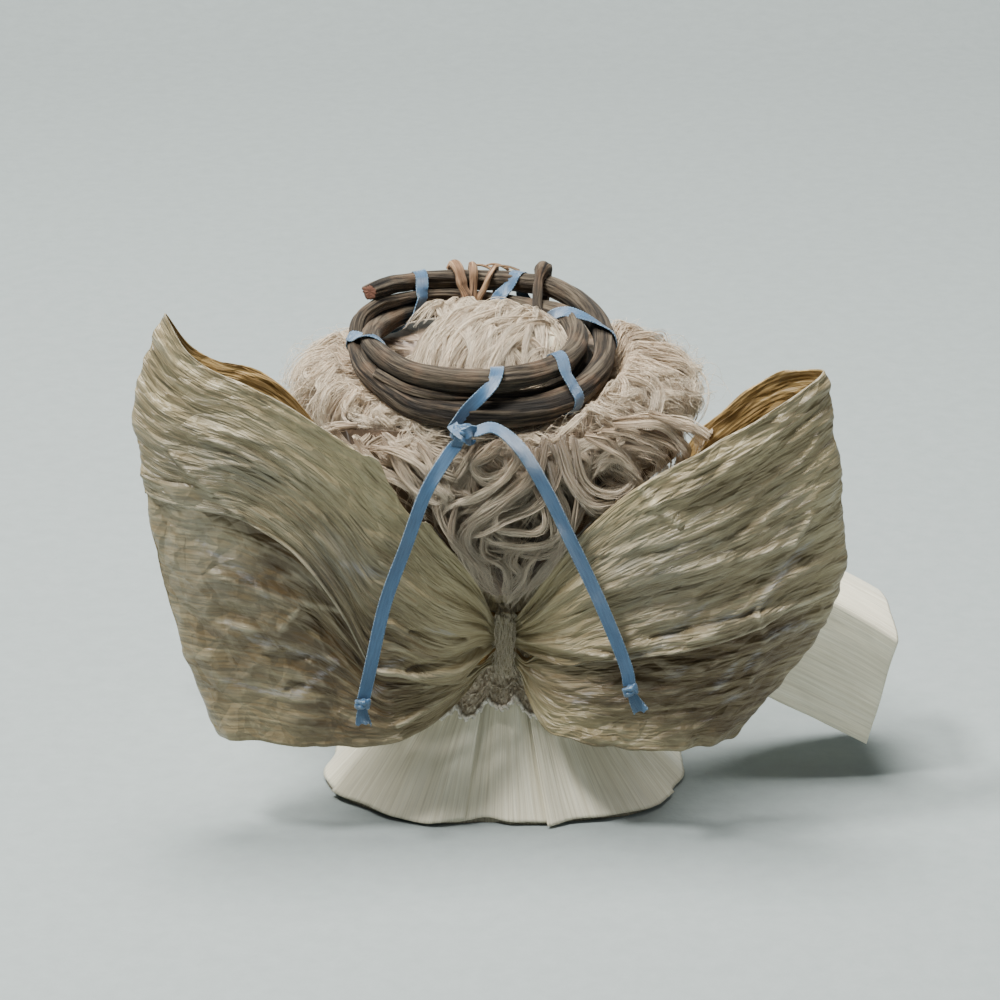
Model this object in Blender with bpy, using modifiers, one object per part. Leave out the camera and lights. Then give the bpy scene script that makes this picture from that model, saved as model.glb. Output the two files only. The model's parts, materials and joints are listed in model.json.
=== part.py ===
# Corn husk angel doll, built from the table up: skirt, torso, arms, head, wings, wreath and ribbon.
# Metres, +Z up. The origin is on the table under the skirt, the doll faces +Y and its left is -X.

import math

import bmesh
import bpy
from mathutils import Matrix, Vector

# Clearances and husk
GAP = 0.0003
HUSK = 0.0005
LAYER = 0.0011
WELD = 0.00001
OVERRUN = 0.004

# Skirt: a core that carries the doll, and husks that overlap round it
SKIRT_TOP = 0.0370
WAIST_TOP = 0.0410
CORE_TOP = 0.0402
WAIST_RADIUS = 0.0065
HEM_RADIUS = 0.0380
HEM_BACK_INSET = 0.0130
HEM_LIFT = 0.0006
FLARE_POWER = 1.1
FLUTES = 8
FLUTE_DEPTH = 0.0007
SKIRT_HUSKS = 8
HUSK_SPREAD_SHARE = 0.60
CORE_LAYERS = 0.25

# Lace trim over the skirt
LACE = 0.0004
LACE_TOP = 0.0390
LACE_HEM = 0.0205
LACE_BACK_RISE = 0.0035
LACE_SCALLOP = 0.0013
LACE_SCALLOPS = 16
LACE_LAYERS = 3

# Threads that tie the pieces
THREAD = 0.00025
THREAD_PITCH = 0.00096
WAIST_TURNS = 3
SHORT_TURNS = 2
POINTS_A_TURN = 14
WAIST_TIE_LOW = 0.0379
WAIST_BAND_LOW = 0.0374
WAIST_BAND_HEIGHT = 0.0043

# Torso and its crossed straps
ARM_HEIGHT = 0.0630
TORSO_ABOVE_ARMS = 0.0108
TORSO_TOP = ARM_HEIGHT + TORSO_ABOVE_ARMS
TORSO_HALF_WIDTH = 0.0125
TORSO_HALF_DEPTH = 0.0095
TORSO_SHARES = (
    (0.00, 0.55, 0.68),
    (0.12, 0.56, 0.70),
    (0.35, 0.80, 0.92),
    (0.60, 1.00, 1.00),
    (0.78, 0.98, 0.92),
    (0.88, 0.72, 0.75),
    (0.96, 0.40, 0.50),
    (1.00, 0.22, 0.29),
)
NECK_PEG = 0.0019
STRAP_WIDTH = 0.0070
STRAP_LOW = 0.0431
STRAP_BELOW_TOP = 0.0034
STRAP_EDGE_BELOW_TOP = 0.0025
STRAP_CREST = TORSO_TOP - STRAP_BELOW_TOP
STRAP_EDGE_TOP = TORSO_TOP - STRAP_EDGE_BELOW_TOP
STRAP_STEP_SHARE = 0.02
STRAP_TURN_SHARES = (0.208, 0.278, 0.356, 0.430, 0.500, 0.570, 0.644, 0.722, 0.792)
STRAP_RISE_SHARES = (0.0, 0.26, 0.62, 0.89, 1.0, 0.89, 0.62, 0.26, 0.0)

# Arms: a husk roll on a wire, tied at the wrist, in a wide sleeve tied at the shoulder
ARM_RADIUS = 0.0028
WRIST_RADIUS = 0.0019
HAND_RADIUS = 0.0029
ARM_LENGTH = 0.0600
WRIST_SHARE = 0.87
SHOULDER_SHARES = ((-1.0, 0.12), (-0.85, 0.52), (-0.5, 0.87), (0.0, 1.0))
ARM_SHARES = ((0.3, 1.0), (0.6, 0.95), (0.8, 0.85))
HAND_SHARES = ((0.95, 1.0), (1.0, 0.9))
WIRE_STEPS = 8
WIRE_RADIUS = 0.0005
WIRE_LENGTH = 0.0460
WIRE_START = 0.0015
RIGHT_ARM_TURN = math.radians(8.0)
LEFT_ARM_TURN = math.radians(130.0)
SLEEVE_START = 0.0030
SLEEVE_LENGTH = 0.0660
SLEEVE_TIE_PLACE = 0.0045
SLEEVE_SINK_SHARE = 0.381
SLEEVE_DROOP_SHARE = 0.127
SLEEVE_HANG_SHARE = 0.4365
SLEEVE_WRAP = math.radians(168.0)
SLEEVE_OPENING_START_SHARE = 0.08
SLEEVE_OPENING_SPAN_SHARE = 0.30
SLEEVE_HALF_WIDTH = 0.0120
SLEEVE_CROWN = 0.0048
SLEEVE_END_CUT_SHARE = 0.09
SLEEVE_WIDTH_SHARES = ((0.0, 0.0), (0.3, 0.42), (0.6, 0.77), (1.0, 1.0))
SLEEVE_DROP_SHARES = ((0.0, 0.0), (0.12, 0.12), (0.25, 0.40), (0.5, 0.93), (0.75, 1.0), (1.0, 0.97))

# Head: a ball in a husk that narrows to the neck
HEAD_RADIUS = 0.0141
NECK_LOW = TORSO_TOP + 2 * GAP
HEAD_ABOVE_NECK = 0.0166
HEAD_HEIGHT = NECK_LOW + HEAD_ABOVE_NECK
NECK_RADIUS = 0.0034
NECK_TIE_LOW = NECK_LOW + 2 * GAP

# Hair: a wide cap, a crown inside the wreath, and a fall down the back
HAIR_BELOW_HEAD = 0.0050
HAIR_CENTRE = (-0.0020, 0.0010, HEAD_HEIGHT - HAIR_BELOW_HEAD)
HAIR_HALF_SIZE = (0.0410, 0.0260, 0.0165)
HAIR_SEGMENTS = 24
HAIR_RINGS = 12
CROWN_ABOVE_HEAD = 0.0010
CROWN_CENTRE = (-0.0050, 0.0, HEAD_HEIGHT + CROWN_ABOVE_HEAD)
CROWN_HALF_SIZE = (0.0174, 0.0174, 0.0178)
HAIR_BACK_LENGTH = 0.0210
HAIR_FRONT_LENGTH = 0.0180
HAIR_LOW_BACK = HEAD_HEIGHT - HAIR_BACK_LENGTH
HAIR_LOW_FRONT = HEAD_HEIGHT - HAIR_FRONT_LENGTH
HAIR_STEP_PLACE = -0.0080
FACE_HALF_WIDTH = 0.0112
FACE_HALF_HEIGHT = 0.0165
FACE_BELOW_HEAD = 0.0055
FACE_HEIGHT = HEAD_HEIGHT - FACE_BELOW_HEAD
NAPE_RADIUS = 0.0115
FALL_LOW = 0.0502
FALL_BELOW_HEAD = 0.0110
FALL_TOP = HEAD_HEIGHT - FALL_BELOW_HEAD
FALL_WIDTH_SHARES = (
    (0.00, 0.083),
    (0.17, 0.310),
    (0.33, 0.586),
    (0.50, 0.780),
    (0.67, 0.940),
    (0.83, 1.000),
    (1.00, 0.900),
)
FALL_HALF_WIDTH = 0.0145
FALL_MIDDLE = -0.0199
FALL_HALF_DEPTH = 0.0074
FALL_TIP_DEPTH_SHARE = 0.40

# Wings: four husk loops gathered in one band behind the waist
TIE_PLACE = (0.0, -0.0176, 0.0387)
TIE_SHARE = 0.344
WING_REACH = 0.0730
RIGHT_WING_REACH = 0.0690
WING_SPAN_SHARE = 1.7857
WING_SPAN = WING_SPAN_SHARE * ARM_HEIGHT
WING_DEPTH = 0.0155
WING_LAYER = 0.0014
PLEAT_DEPTH = 0.0008
PLEAT_RATE = 7.0
PLEAT_START = 0.0028
PLEAT_FULL = 0.0120
PLEAT_FADE_SHARE = 0.7
BAND = 0.0008
BAND_WIDTH = 0.0040
GATHER_SHARE = 0.056
GATHER_HALF_HEIGHT = GATHER_SHARE * WING_SPAN
GATHER_REAR = 0.0019
GATHER_FRONT = 0.0014
DAB_HALF_WIDTH = 0.0022
DAB_HALF_HEIGHT = 0.0018
DAB_HEIGHT = 0.0392
FOLD_SHARE = 0.2
FOLD_TURN_SHARE = 0.08
LOOP_SHARES = (
    (0.005, 0.075),
    (0.035, 0.105),
    (0.10, 0.36),
    (0.20, 0.66),
    (0.33, 0.88),
    (0.50, 1.00),
    (0.67, 0.98),
    (0.82, 0.86),
    (0.94, 0.68),
    (1.00, 0.44),
    (0.95, 0.25),
    (0.82, 0.19),
    (0.67, 0.18),
    (0.50, 0.17),
    (0.33, 0.165),
    (0.20, 0.14),
    (0.10, 0.08),
    (0.035, -0.065),
    (0.005, -0.07),
)
LEFT_WING_SHARES = {
    "fold": (
        (0.187, 0.820), (0.247, 0.860), (0.357, 0.911), (0.476, 0.962),
        (0.650, 1.000), (0.862, 0.997), (0.918, 0.980), (1.000, 0.925),
    ),
    "top_rear": (
        (0.000, 0.392), (0.035, 0.396), (0.060, 0.440), (0.210, 0.596), (0.370, 0.731),
        (0.600, 0.835), (0.850, 0.900), (0.960, 0.956), (1.000, 1.000),
    ),
    "top_front": (
        (0.000, 0.392), (0.035, 0.396), (0.120, 0.444), (0.280, 0.507), (0.440, 0.596), (0.490, 0.640),
        (0.530, 0.775), (0.640, 0.823), (0.790, 0.876), (0.900, 0.890), (1.000, 1.000),
    ),
    "flap": (
        (0.000, 0.336), (0.035, 0.336), (0.140, 0.288), (0.190, 0.289), (0.300, 0.325),
        (0.370, 0.344), (0.440, 0.440), (0.550, 0.552), (0.680, 0.620), (1.000, 0.658),
    ),
    "hidden": (
        (0.000, 0.324), (0.035, 0.324), (0.060, 0.310), (0.100, 0.312), (0.160, 0.330), (0.300, 0.360),
        (0.370, 0.385), (0.440, 0.480), (0.550, 0.600), (0.680, 0.670), (1.000, 0.700),
    ),
    "bottom": (
        (0.000, 0.300), (0.035, 0.300), (0.060, 0.290), (0.120, 0.236), (0.260, 0.203),
        (0.390, 0.189), (0.600, 0.177), (0.830, 0.191), (1.000, 0.187),
    ),
}
RIGHT_WING_SHARES = {
    "fold": (
        (0.176, 0.704), (0.247, 0.777), (0.277, 0.820), (0.357, 0.906), (0.457, 0.983),
        (0.516, 1.000), (0.650, 0.987), (0.748, 0.960), (0.871, 0.938), (0.892, 0.925),
    ),
    "top_rear": (
        (0.000, 0.392), (0.035, 0.396), (0.060, 0.420), (0.170, 0.538), (0.330, 0.654),
        (0.610, 0.769), (0.790, 0.826), (0.915, 0.863), (1.000, 0.892),
    ),
    "top_front": (
        (0.000, 0.392), (0.035, 0.396), (0.120, 0.444), (0.300, 0.507), (0.430, 0.587),
        (0.490, 0.620), (0.580, 0.737), (0.700, 0.813), (0.860, 0.876), (1.000, 0.892),
    ),
    "flap": (
        (0.000, 0.336), (0.035, 0.336), (0.160, 0.330), (0.310, 0.354),
        (0.590, 0.393), (0.750, 0.427), (0.850, 0.456), (1.000, 0.477),
    ),
    "hidden": (
        (0.000, 0.324), (0.035, 0.324), (0.060, 0.312), (0.100, 0.335), (0.310, 0.390),
        (0.590, 0.430), (0.750, 0.465), (0.850, 0.495), (1.000, 0.520),
    ),
    "bottom": (
        (0.000, 0.300), (0.035, 0.300), (0.060, 0.290), (0.100, 0.239), (0.300, 0.187),
        (0.600, 0.174), (1.000, 0.176),
    ),
}

# Wreath: one vine wound from its upper cut end down to its lower one
WREATH_ABOVE_HEAD = 0.0051
WREATH_CENTRE = (-0.0050, 0.0, HEAD_HEIGHT + WREATH_ABOVE_HEAD)
WREATH_TILT = math.radians(2.7)
WREATH_RADIUS = 0.0239
VINE_RADIUS = 0.0023
VINE_PITCH = 0.00505
VINE_TOP = 0.0085
VINE_START_TURN = math.radians(155.0)
VINE_TURN = math.radians(1015.0)
VINE_POINTS = 68
VINE_WAVE = 0.0007
VINE_BULGE = 0.0009
VINE_WAVES = 3
BUNDLE_ROUNDNESS = 0.6
TENDRIL_RADIUS = 0.00085
TENDRIL_TURN_SHARES = (0.289, 0.266, 0.244, 0.150)
TENDRIL_SLANT_SHARES = (0.0, 0.006, -0.004, 0.024)
TENDRIL_START_SHARE = 0.16
TENDRIL_SPAN_SHARE = 0.62
TENDRIL_POINTS = 10

# Ribbon: six turns round the wreath, a knot, and two tails whose points are measured from the knot
RIBBON_WIDTH = 0.0030
RIBBON = 0.00035
RIBBON_TURN_SHARES = (-0.243, -0.125, 0.0, 0.206, 0.333, 0.500)
RIBBON_SLANT_SHARES = (0.030, 0.022, 0.004, 0.020, -0.012, -0.010)
RIBBON_SAMPLES = 16
RIBBON_START_SHARE = 0.13
RIBBON_END_SHARE = 0.90
RIBBON_CROSS_SHARE = 0.32
KNOT_BELOW_HEAD = 0.0015
KNOT_PLACE = (-0.0086, -0.0298, HEAD_HEIGHT - KNOT_BELOW_HEAD)
KNOT_HALF_SIZE = (0.0024, 0.0013, 0.0021)
TAIL_SAMPLES = 20
TAIL_KNOT_RADIUS = 0.0017
TAIL_KNOT_WIDTH_SHARES = (0.30, 0.78, 1.0, 0.78, 0.42, 0.55, 0.70, 0.88)
TAIL_KNOT_DEPTH_SHARES = (0.30, 0.78, 1.0, 0.78, 0.30, 0.16, 0.13, 0.12)
TAIL_KNOT_DOWN_SHARES = (-0.95, -0.55, 0.0, 0.55, 1.0, 1.9, 3.0, 4.2)
TAIL_KNOT_LEAN_SHARES = (0.0, 0.0, 0.0, 0.0, 0.0, 0.23, 0.43, 0.63)
LEFT_TAIL_ROUTE = (
    (-0.0010, -0.0005, -0.0025),
    (-0.0031, -0.0016, -0.0050),
    (-0.0073, -0.0033, -0.0120),
    (-0.0113, -0.0046, -0.0230),
    (-0.0155, -0.0052, -0.0350),
    (-0.0187, -0.0055, -0.0495),
    (-0.0201, -0.0056, -0.0560),
)
RIGHT_TAIL_ROUTE = (
    (0.0027, -0.0005, 0.0002),
    (0.0066, -0.0015, 0.0013),
    (0.0116, -0.0023, -0.0027),
    (0.0166, -0.0030, -0.0110),
    (0.0216, -0.0039, -0.0215),
    (0.0277, -0.0046, -0.0350),
    (0.0328, -0.0053, -0.0480),
    (0.0339, -0.0055, -0.0530),
)

FULL_TURN = 2 * math.pi

# Pieces that nod with the head
HEAD_PIECES = (
    "head_core",
    "head_husk",
    "neck_tie",
    "hair_cap",
    "hair_back",
    "wreath_vine",
    "tendril_1",
    "tendril_2",
    "tendril_3",
    "wreath_twig",
    "ribbon_winding",
    "ribbon_knot",
    "left_ribbon_tail",
    "right_ribbon_tail",
    "left_tail_knot",
    "right_tail_knot",
)


def clear_scene():
    for item in list(bpy.data.objects):
        bpy.data.objects.remove(item, do_unlink=True)


def new_collection(name, hidden=False):
    collection = bpy.data.collections.new(name)
    bpy.context.scene.collection.children.link(collection)
    collection.hide_render = hidden
    return collection


def finish(name, colour, roughness, metallic=0.0):
    material = bpy.data.materials.new(name)
    material.use_nodes = True
    shader = material.node_tree.nodes["Principled BSDF"]
    shader.inputs["Base Color"].default_value = (*colour, 1.0)
    shader.inputs["Roughness"].default_value = roughness
    shader.inputs["Metallic"].default_value = metallic
    material.diffuse_color = (*colour, 1.0)
    return material


def place(name, data, material, collection):
    item = bpy.data.objects.new(name, data)
    if material:
        data.materials.append(material)
    collection.objects.link(item)
    return item


def hang_on(pivot, place_at, pieces, names):
    """An empty on a joint axis that carries the pieces that turn about it."""
    empty = bpy.data.objects.new(pivot, None)
    empty.location = place_at
    pieces.objects.link(empty)
    for name in names:
        item = bpy.data.objects[name]
        item.parent = empty
        item.matrix_parent_inverse = Matrix.Translation(-Vector(place_at))


def ease(share):
    """Smooth step from 0 to 1."""
    held = min(max(share, 0.0), 1.0)
    return held * held * (3 - 2 * held)


def read_table(table, share):
    """Smooth value at a share of the way, from (share, value) pairs."""
    last = len(table) - 1
    index = 0
    while index < last - 1 and share > table[index + 1][0]:
        index += 1

    def slope(i):
        before = table[max(i - 1, 0)]
        after = table[min(i + 1, last)]
        return (after[1] - before[1]) / (after[0] - before[0])

    (x0, y0), (x1, y1) = table[index], table[index + 1]
    width = x1 - x0
    t = (share - x0) / width
    rise = slope(index) * width
    fall = slope(index + 1) * width
    cubed = t * t * t
    squared = t * t
    return (
        y0 * (2 * cubed - 3 * squared + 1)
        + rise * (cubed - 2 * squared + t)
        + y1 * (3 * squared - 2 * cubed)
        + fall * (cubed - squared)
    )


def follow(points, share):
    """Point at a share of the way along a smooth curve through the points."""
    spans = len(points) - 1
    at = min(max(share, 0.0), 1.0) * spans
    index = min(int(at), spans - 1)
    t = at - index
    p0 = Vector(points[max(index - 1, 0)])
    p1 = Vector(points[index])
    p2 = Vector(points[index + 1])
    p3 = Vector(points[min(index + 2, spans)])
    straight = (p2 - p0) * t
    bend = (2 * p0 - 5 * p1 + 4 * p2 - p3) * t**2
    twist = (3 * p1 - p0 - 3 * p2 + p3) * t**3
    return 0.5 * (2 * p1 + straight + bend + twist)


def mesh_from(form, name):
    bmesh.ops.recalc_face_normals(form, faces=form.faces)
    if form.calc_volume(signed=True) < 0:
        bmesh.ops.reverse_faces(form, faces=form.faces)
    mesh = bpy.data.meshes.new(name)
    form.to_mesh(mesh)
    form.free()
    return mesh


def sheet(name, shape, along, across, thickness, material, collection):
    """A thin sheet: a grid bent by shape(along share, across share), then given its thickness."""
    form = bmesh.new()
    bmesh.ops.create_grid(form, x_segments=along, y_segments=across, size=0.5)
    for vertex in form.verts:
        vertex.co = shape(vertex.co.x + 0.5, vertex.co.y + 0.5)
    bmesh.ops.remove_doubles(form, verts=form.verts, dist=WELD)
    item = place(name, mesh_from(form, name), material, collection)
    solid = item.modifiers.new("thickness", "SOLIDIFY")
    solid.thickness = thickness
    solid.offset = 0.0
    return item


def column(name, shape, segments, rings, material, collection):
    """A closed solid: a cylinder bent by shape(turn, height share), flat at both ends."""
    form = bmesh.new()
    bmesh.ops.create_cone(form, cap_ends=True, segments=segments, radius1=1.0, radius2=1.0, depth=1.0)
    risers = [edge for edge in form.edges if abs(edge.verts[0].co.z - edge.verts[1].co.z) > 0.5]
    bmesh.ops.subdivide_edges(form, edges=risers, cuts=rings - 1, use_grid_fill=True)
    for vertex in form.verts:
        turn = math.atan2(vertex.co.y, vertex.co.x)
        vertex.co = shape(turn, vertex.co.z + 0.5)
    return place(name, mesh_from(form, name), material, collection)


def tube(name, points, radius, material, collection, bevel_resolution=1):
    curve = bpy.data.curves.new(name, "CURVE")
    curve.dimensions = "3D"
    curve.bevel_depth = radius
    curve.bevel_resolution = bevel_resolution
    curve.use_fill_caps = True
    spline = curve.splines.new("POLY")
    spline.points.add(len(points) - 1)
    for slot, point in zip(spline.points, points):
        slot.co = (*point, 1.0)
    return place(name, curve, material, collection)


def as_mesh(item):
    """The same object with its curve turned into a mesh, so that it can be cut or can cut."""
    graph = bpy.context.evaluated_depsgraph_get()
    mesh = bpy.data.meshes.new_from_object(item.evaluated_get(graph))
    form = bmesh.new()
    form.from_mesh(mesh)
    bmesh.ops.remove_doubles(form, verts=form.verts, dist=WELD)
    whole = mesh_from(form, item.name)
    name = item.name
    material = item.active_material
    collection = item.users_collection[0]
    bpy.data.objects.remove(item, do_unlink=True)
    whole.materials.clear()
    return place(name, whole, material, collection)


def join_or_cut(item, other, operation):
    boolean = item.modifiers.new(other.name, "BOOLEAN")
    boolean.operation = operation
    boolean.solver = "EXACT"
    boolean.object = other
    other.hide_render = True
    other.display_type = "WIRE"


def ball(name, centre, half_size, segments, rings, material, collection):
    form = bmesh.new()
    bmesh.ops.create_uvsphere(form, u_segments=segments, v_segments=rings, radius=1.0)
    for vertex in form.verts:
        vertex.co = Vector(centre) + Vector([c * h for c, h in zip(vertex.co, half_size)])
    return place(name, mesh_from(form, name), material, collection)


def box(name, low, high, collection):
    form = bmesh.new()
    bmesh.ops.create_cube(form, size=1.0)
    for vertex in form.verts:
        vertex.co = Vector([a + (b - a) * (c + 0.5) for a, b, c in zip(low, high, vertex.co)])
    return place(name, mesh_from(form, name), None, collection)


def helix(centre, axis, radius, turns, pitch):
    """Points of a thread wound round an axis, centred on it."""
    turned = Vector((0, 0, 1)).rotation_difference(Vector(axis)).to_matrix()
    count = int(turns * POINTS_A_TURN)
    points = []
    for step in range(count + 1):
        turn = FULL_TURN * step / POINTS_A_TURN
        climb = pitch * (step / POINTS_A_TURN - turns / 2)
        around = Vector((radius * math.cos(turn), radius * math.sin(turn), climb))
        points.append(Vector(centre) + turned @ around)
    return points


def least_gap(points, radius, points_a_turn):
    """Least clearance of a wound tube to itself, past the half turn that joins neighbours."""
    skip = points_a_turn // 2
    pairs = (
        (points[i] - points[j]).length
        for i in range(len(points))
        for j in range(i + skip, len(points))
    )
    return min(pairs) - 2 * radius


def winding(name, centre, axis, radius, turns, material, collection):
    points = helix(centre, axis, radius, turns, THREAD_PITCH)
    gap = least_gap(points, THREAD, POINTS_A_TURN)
    print(f"{name}: {turns} turns, least gap to itself {gap * 1000:.2f} mm")
    return tube(name, points, THREAD, material, collection, bevel_resolution=0)


def strip(name, route, facing, width, thickness, material, collection):
    """A flat ribbon along a route, its face turned to facing(index)."""
    last = len(route) - 1

    def shape(along, across):
        index = round(along * last)
        ahead = route[min(index + 1, last)] - route[max(index - 1, 0)]
        side = ahead.normalized().cross(facing(index)).normalized()
        return route[index] + side * (across - 0.5) * width

    return sheet(name, shape, last, 1, thickness, material, collection)


def skirt_radius(turn, height):
    """Radius of the innermost husk layer at a turn and height."""
    share = min(max((SKIRT_TOP - height) / SKIRT_TOP, 0.0), 1.0) ** FLARE_POWER
    back = max(0.0, -math.sin(turn)) ** 2
    hem = HEM_RADIUS - HEM_BACK_INSET * back
    flute = FLUTE_DEPTH * share * math.sin(FLUTES * turn)
    return WAIST_RADIUS + (hem - WAIST_RADIUS) * share + flute


def skirt_point(turn, height, layers):
    radius = skirt_radius(turn, height) + LAYER * layers
    return Vector((radius * math.cos(turn), radius * math.sin(turn), height))


def gathered_height(low, top, up, rows):
    """Height at a share of the way up, with the last row held for the straight gather at the waist."""
    last_row = 1 / rows
    if up > 1 - last_row:
        return SKIRT_TOP + (top - SKIRT_TOP) * (up - 1 + last_row) / last_row
    return low + (SKIRT_TOP - low) * up / (1 - last_row)


def make_skirt(pieces, pale, cream):
    rows = 6

    def core(turn, share):
        return skirt_point(turn, gathered_height(0.0, CORE_TOP, share, rows), CORE_LAYERS)

    column("skirt_core", core, 40, rows, pale, pieces)
    spread = FULL_TURN / SKIRT_HUSKS * HUSK_SPREAD_SHARE
    for number in range(SKIRT_HUSKS):
        middle = FULL_TURN * number / SKIRT_HUSKS
        layers = 1 + number % 2

        def husk(across, up, middle=middle, layers=layers):
            turn = middle + spread * (2 * across - 1)
            return skirt_point(turn, gathered_height(HEM_LIFT, WAIST_TOP, up, rows), layers)

        sheet(f"skirt_husk_{number + 1}", husk, 6, rows, HUSK, cream, pieces)


def make_lace(pieces, ecru):
    rows = 3

    def lace(around, up):
        turn = FULL_TURN * around
        back = max(0.0, -math.sin(turn)) ** 12
        scallop = LACE_SCALLOP * math.cos(LACE_SCALLOPS * turn)
        low = LACE_HEM + LACE_BACK_RISE * back + scallop
        return skirt_point(turn, gathered_height(low, LACE_TOP, up, rows), LACE_LAYERS)

    sheet("lace_trim", lace, 4 * LACE_SCALLOPS, rows, LACE, ecru, pieces)


def make_waist(pieces, thread, husk):
    lace_outside = WAIST_RADIUS + LAYER * LACE_LAYERS + LACE / 2
    tie_radius = lace_outside + GAP + THREAD
    rise = THREAD_PITCH * WAIST_TURNS / 2
    winding("waist_tie", (0, 0, WAIST_TIE_LOW + rise), (0, 0, 1), tie_radius, WAIST_TURNS, thread, pieces)
    band_radius = tie_radius + THREAD + GAP + HUSK / 2

    def band(around, up):
        turn = FULL_TURN * around
        height = WAIST_BAND_LOW + WAIST_BAND_HEIGHT * up
        return Vector((band_radius * math.cos(turn), band_radius * math.sin(turn), height))

    sheet("waist_band", band, 32, 1, HUSK, husk, pieces)
    return band_radius + HUSK / 2


def torso_point(turn, height, offset=0.0):
    low = CORE_TOP + GAP
    share = min(max((height - low) / (TORSO_TOP - low), 0.0), 1.0)
    wide = read_table([(s, w) for s, w, _ in TORSO_SHARES], share) * TORSO_HALF_WIDTH + offset
    deep = read_table([(s, d) for s, _, d in TORSO_SHARES], share) * TORSO_HALF_DEPTH + offset
    return Vector((wide * math.cos(turn), deep * math.sin(turn), height))


def make_torso(pieces, pale):
    """The torso ends in a peg that the neck husk goes over."""
    low = CORE_TOP + GAP
    rings = 11

    def shape(turn, share):
        ring = round(share * rings)
        point = torso_point(turn, low + (TORSO_TOP - low) * min(ring / (rings - 1), 1.0))
        if ring == rings:
            point.z = TORSO_TOP + NECK_PEG
        return point

    column("torso", shape, 20, rings, pale, pieces)


def make_straps(pieces, cream):
    for name, side, offset in (
        ("left_strap", 1, HUSK / 2 + 2 * GAP),
        ("right_strap", -1, HUSK * 2 + GAP * 4),
    ):
        keys = [
            (turn * FULL_TURN, STRAP_LOW + (STRAP_CREST - STRAP_LOW) * rise, 0.0)
            for turn, rise in zip(STRAP_TURN_SHARES, STRAP_RISE_SHARES)
        ]

        def shape(along, across, side=side, offset=offset, keys=keys):
            def centre(share):
                turn, height, _ = follow(keys, share)
                return torso_point(turn, height, offset)

            point = centre(along)
            after = centre(min(along + STRAP_STEP_SHARE, 1.0))
            ahead = (after - centre(max(along - STRAP_STEP_SHARE, 0.0))).normalized()
            out = Vector((point.x, point.y, 0.5 * (point.z - ARM_HEIGHT))).normalized()
            edge = point + ahead.cross(out).normalized() * (across - 0.5) * STRAP_WIDTH
            turn = math.atan2(edge.y / TORSO_HALF_DEPTH, edge.x / TORSO_HALF_WIDTH)
            height = min(max(edge.z, STRAP_LOW), STRAP_EDGE_TOP)
            landed = torso_point(turn, height, offset)
            return Vector((landed.x * side, landed.y, landed.z))

        sheet(name, shape, 18, 2, HUSK, cream, pieces)


def arm_frame(side_turn):
    """Root of an arm, and its directions outward and across, for a turn from +X."""
    out = Vector((math.cos(side_turn), math.sin(side_turn), 0))
    across = Vector((-math.sin(side_turn), math.cos(side_turn), 0))
    side = 1 if out.x > 0 else -1
    torso_side = max(torso_point(0.0, ARM_HEIGHT + lift).x for lift in (-ARM_RADIUS, 0.0, ARM_RADIUS))
    root = Vector((side * (torso_side + GAP + ARM_RADIUS), 0, ARM_HEIGHT))
    return root, out, across


def arm_centre(root, out, length):
    share = length / SLEEVE_LENGTH
    drop = ARM_HEIGHT * (SLEEVE_SINK_SHARE * share + SLEEVE_DROOP_SHARE * max(share, 0.0) ** 3)
    return root + out * length - Vector((0, 0, drop))


def make_arm(name, side_turn, pieces, cutters, cream, thread, wire):
    root, out, across = arm_frame(side_turn)
    wrist = WRIST_SHARE * ARM_LENGTH
    radii = (
        [(place * ARM_RADIUS, share * ARM_RADIUS) for place, share in SHOULDER_SHARES]
        + [(place * ARM_LENGTH, share * ARM_RADIUS) for place, share in ARM_SHARES]
        + [(wrist - WRIST_RADIUS / 2, WRIST_RADIUS), (wrist + WRIST_RADIUS / 2, WRIST_RADIUS)]
        + [(place * ARM_LENGTH, share * HAND_RADIUS) for place, share in HAND_SHARES]
    )
    last = len(radii) - 1

    def roll(turn, share):
        length, radius = radii[round(share * last)]
        centre = arm_centre(root, out, length)
        return centre + (across * math.cos(turn) + Vector((0, 0, math.sin(turn)))) * radius

    arm = column(name, roll, 12, last, cream, pieces)
    shares = [step / WIRE_STEPS for step in range(WIRE_STEPS + 1)]
    bore_steps = [WIRE_START - OVERRUN + (WIRE_LENGTH + OVERRUN) * share for share in shares]
    bore_route = [arm_centre(root, out, step) for step in bore_steps]
    bore = tube(f"{name}_bore", bore_route, WIRE_RADIUS + GAP, None, cutters)
    join_or_cut(arm, as_mesh(bore), "DIFFERENCE")
    wire_steps = [WIRE_START + (WIRE_LENGTH - WIRE_START - 2 * GAP) * share for share in shares]
    wire_route = [arm_centre(root, out, step) for step in wire_steps]
    tube(f"{name}_wire", wire_route, WIRE_RADIUS, wire, pieces, 0)
    slope = (arm_centre(root, out, wrist + GAP) - arm_centre(root, out, wrist - GAP)).normalized()
    radius = WRIST_RADIUS + GAP + THREAD
    side = name.split("_")[0]
    winding(f"{side}_wrist_tie", arm_centre(root, out, wrist), slope, radius, SHORT_TURNS, thread, pieces)
    return arm


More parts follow.
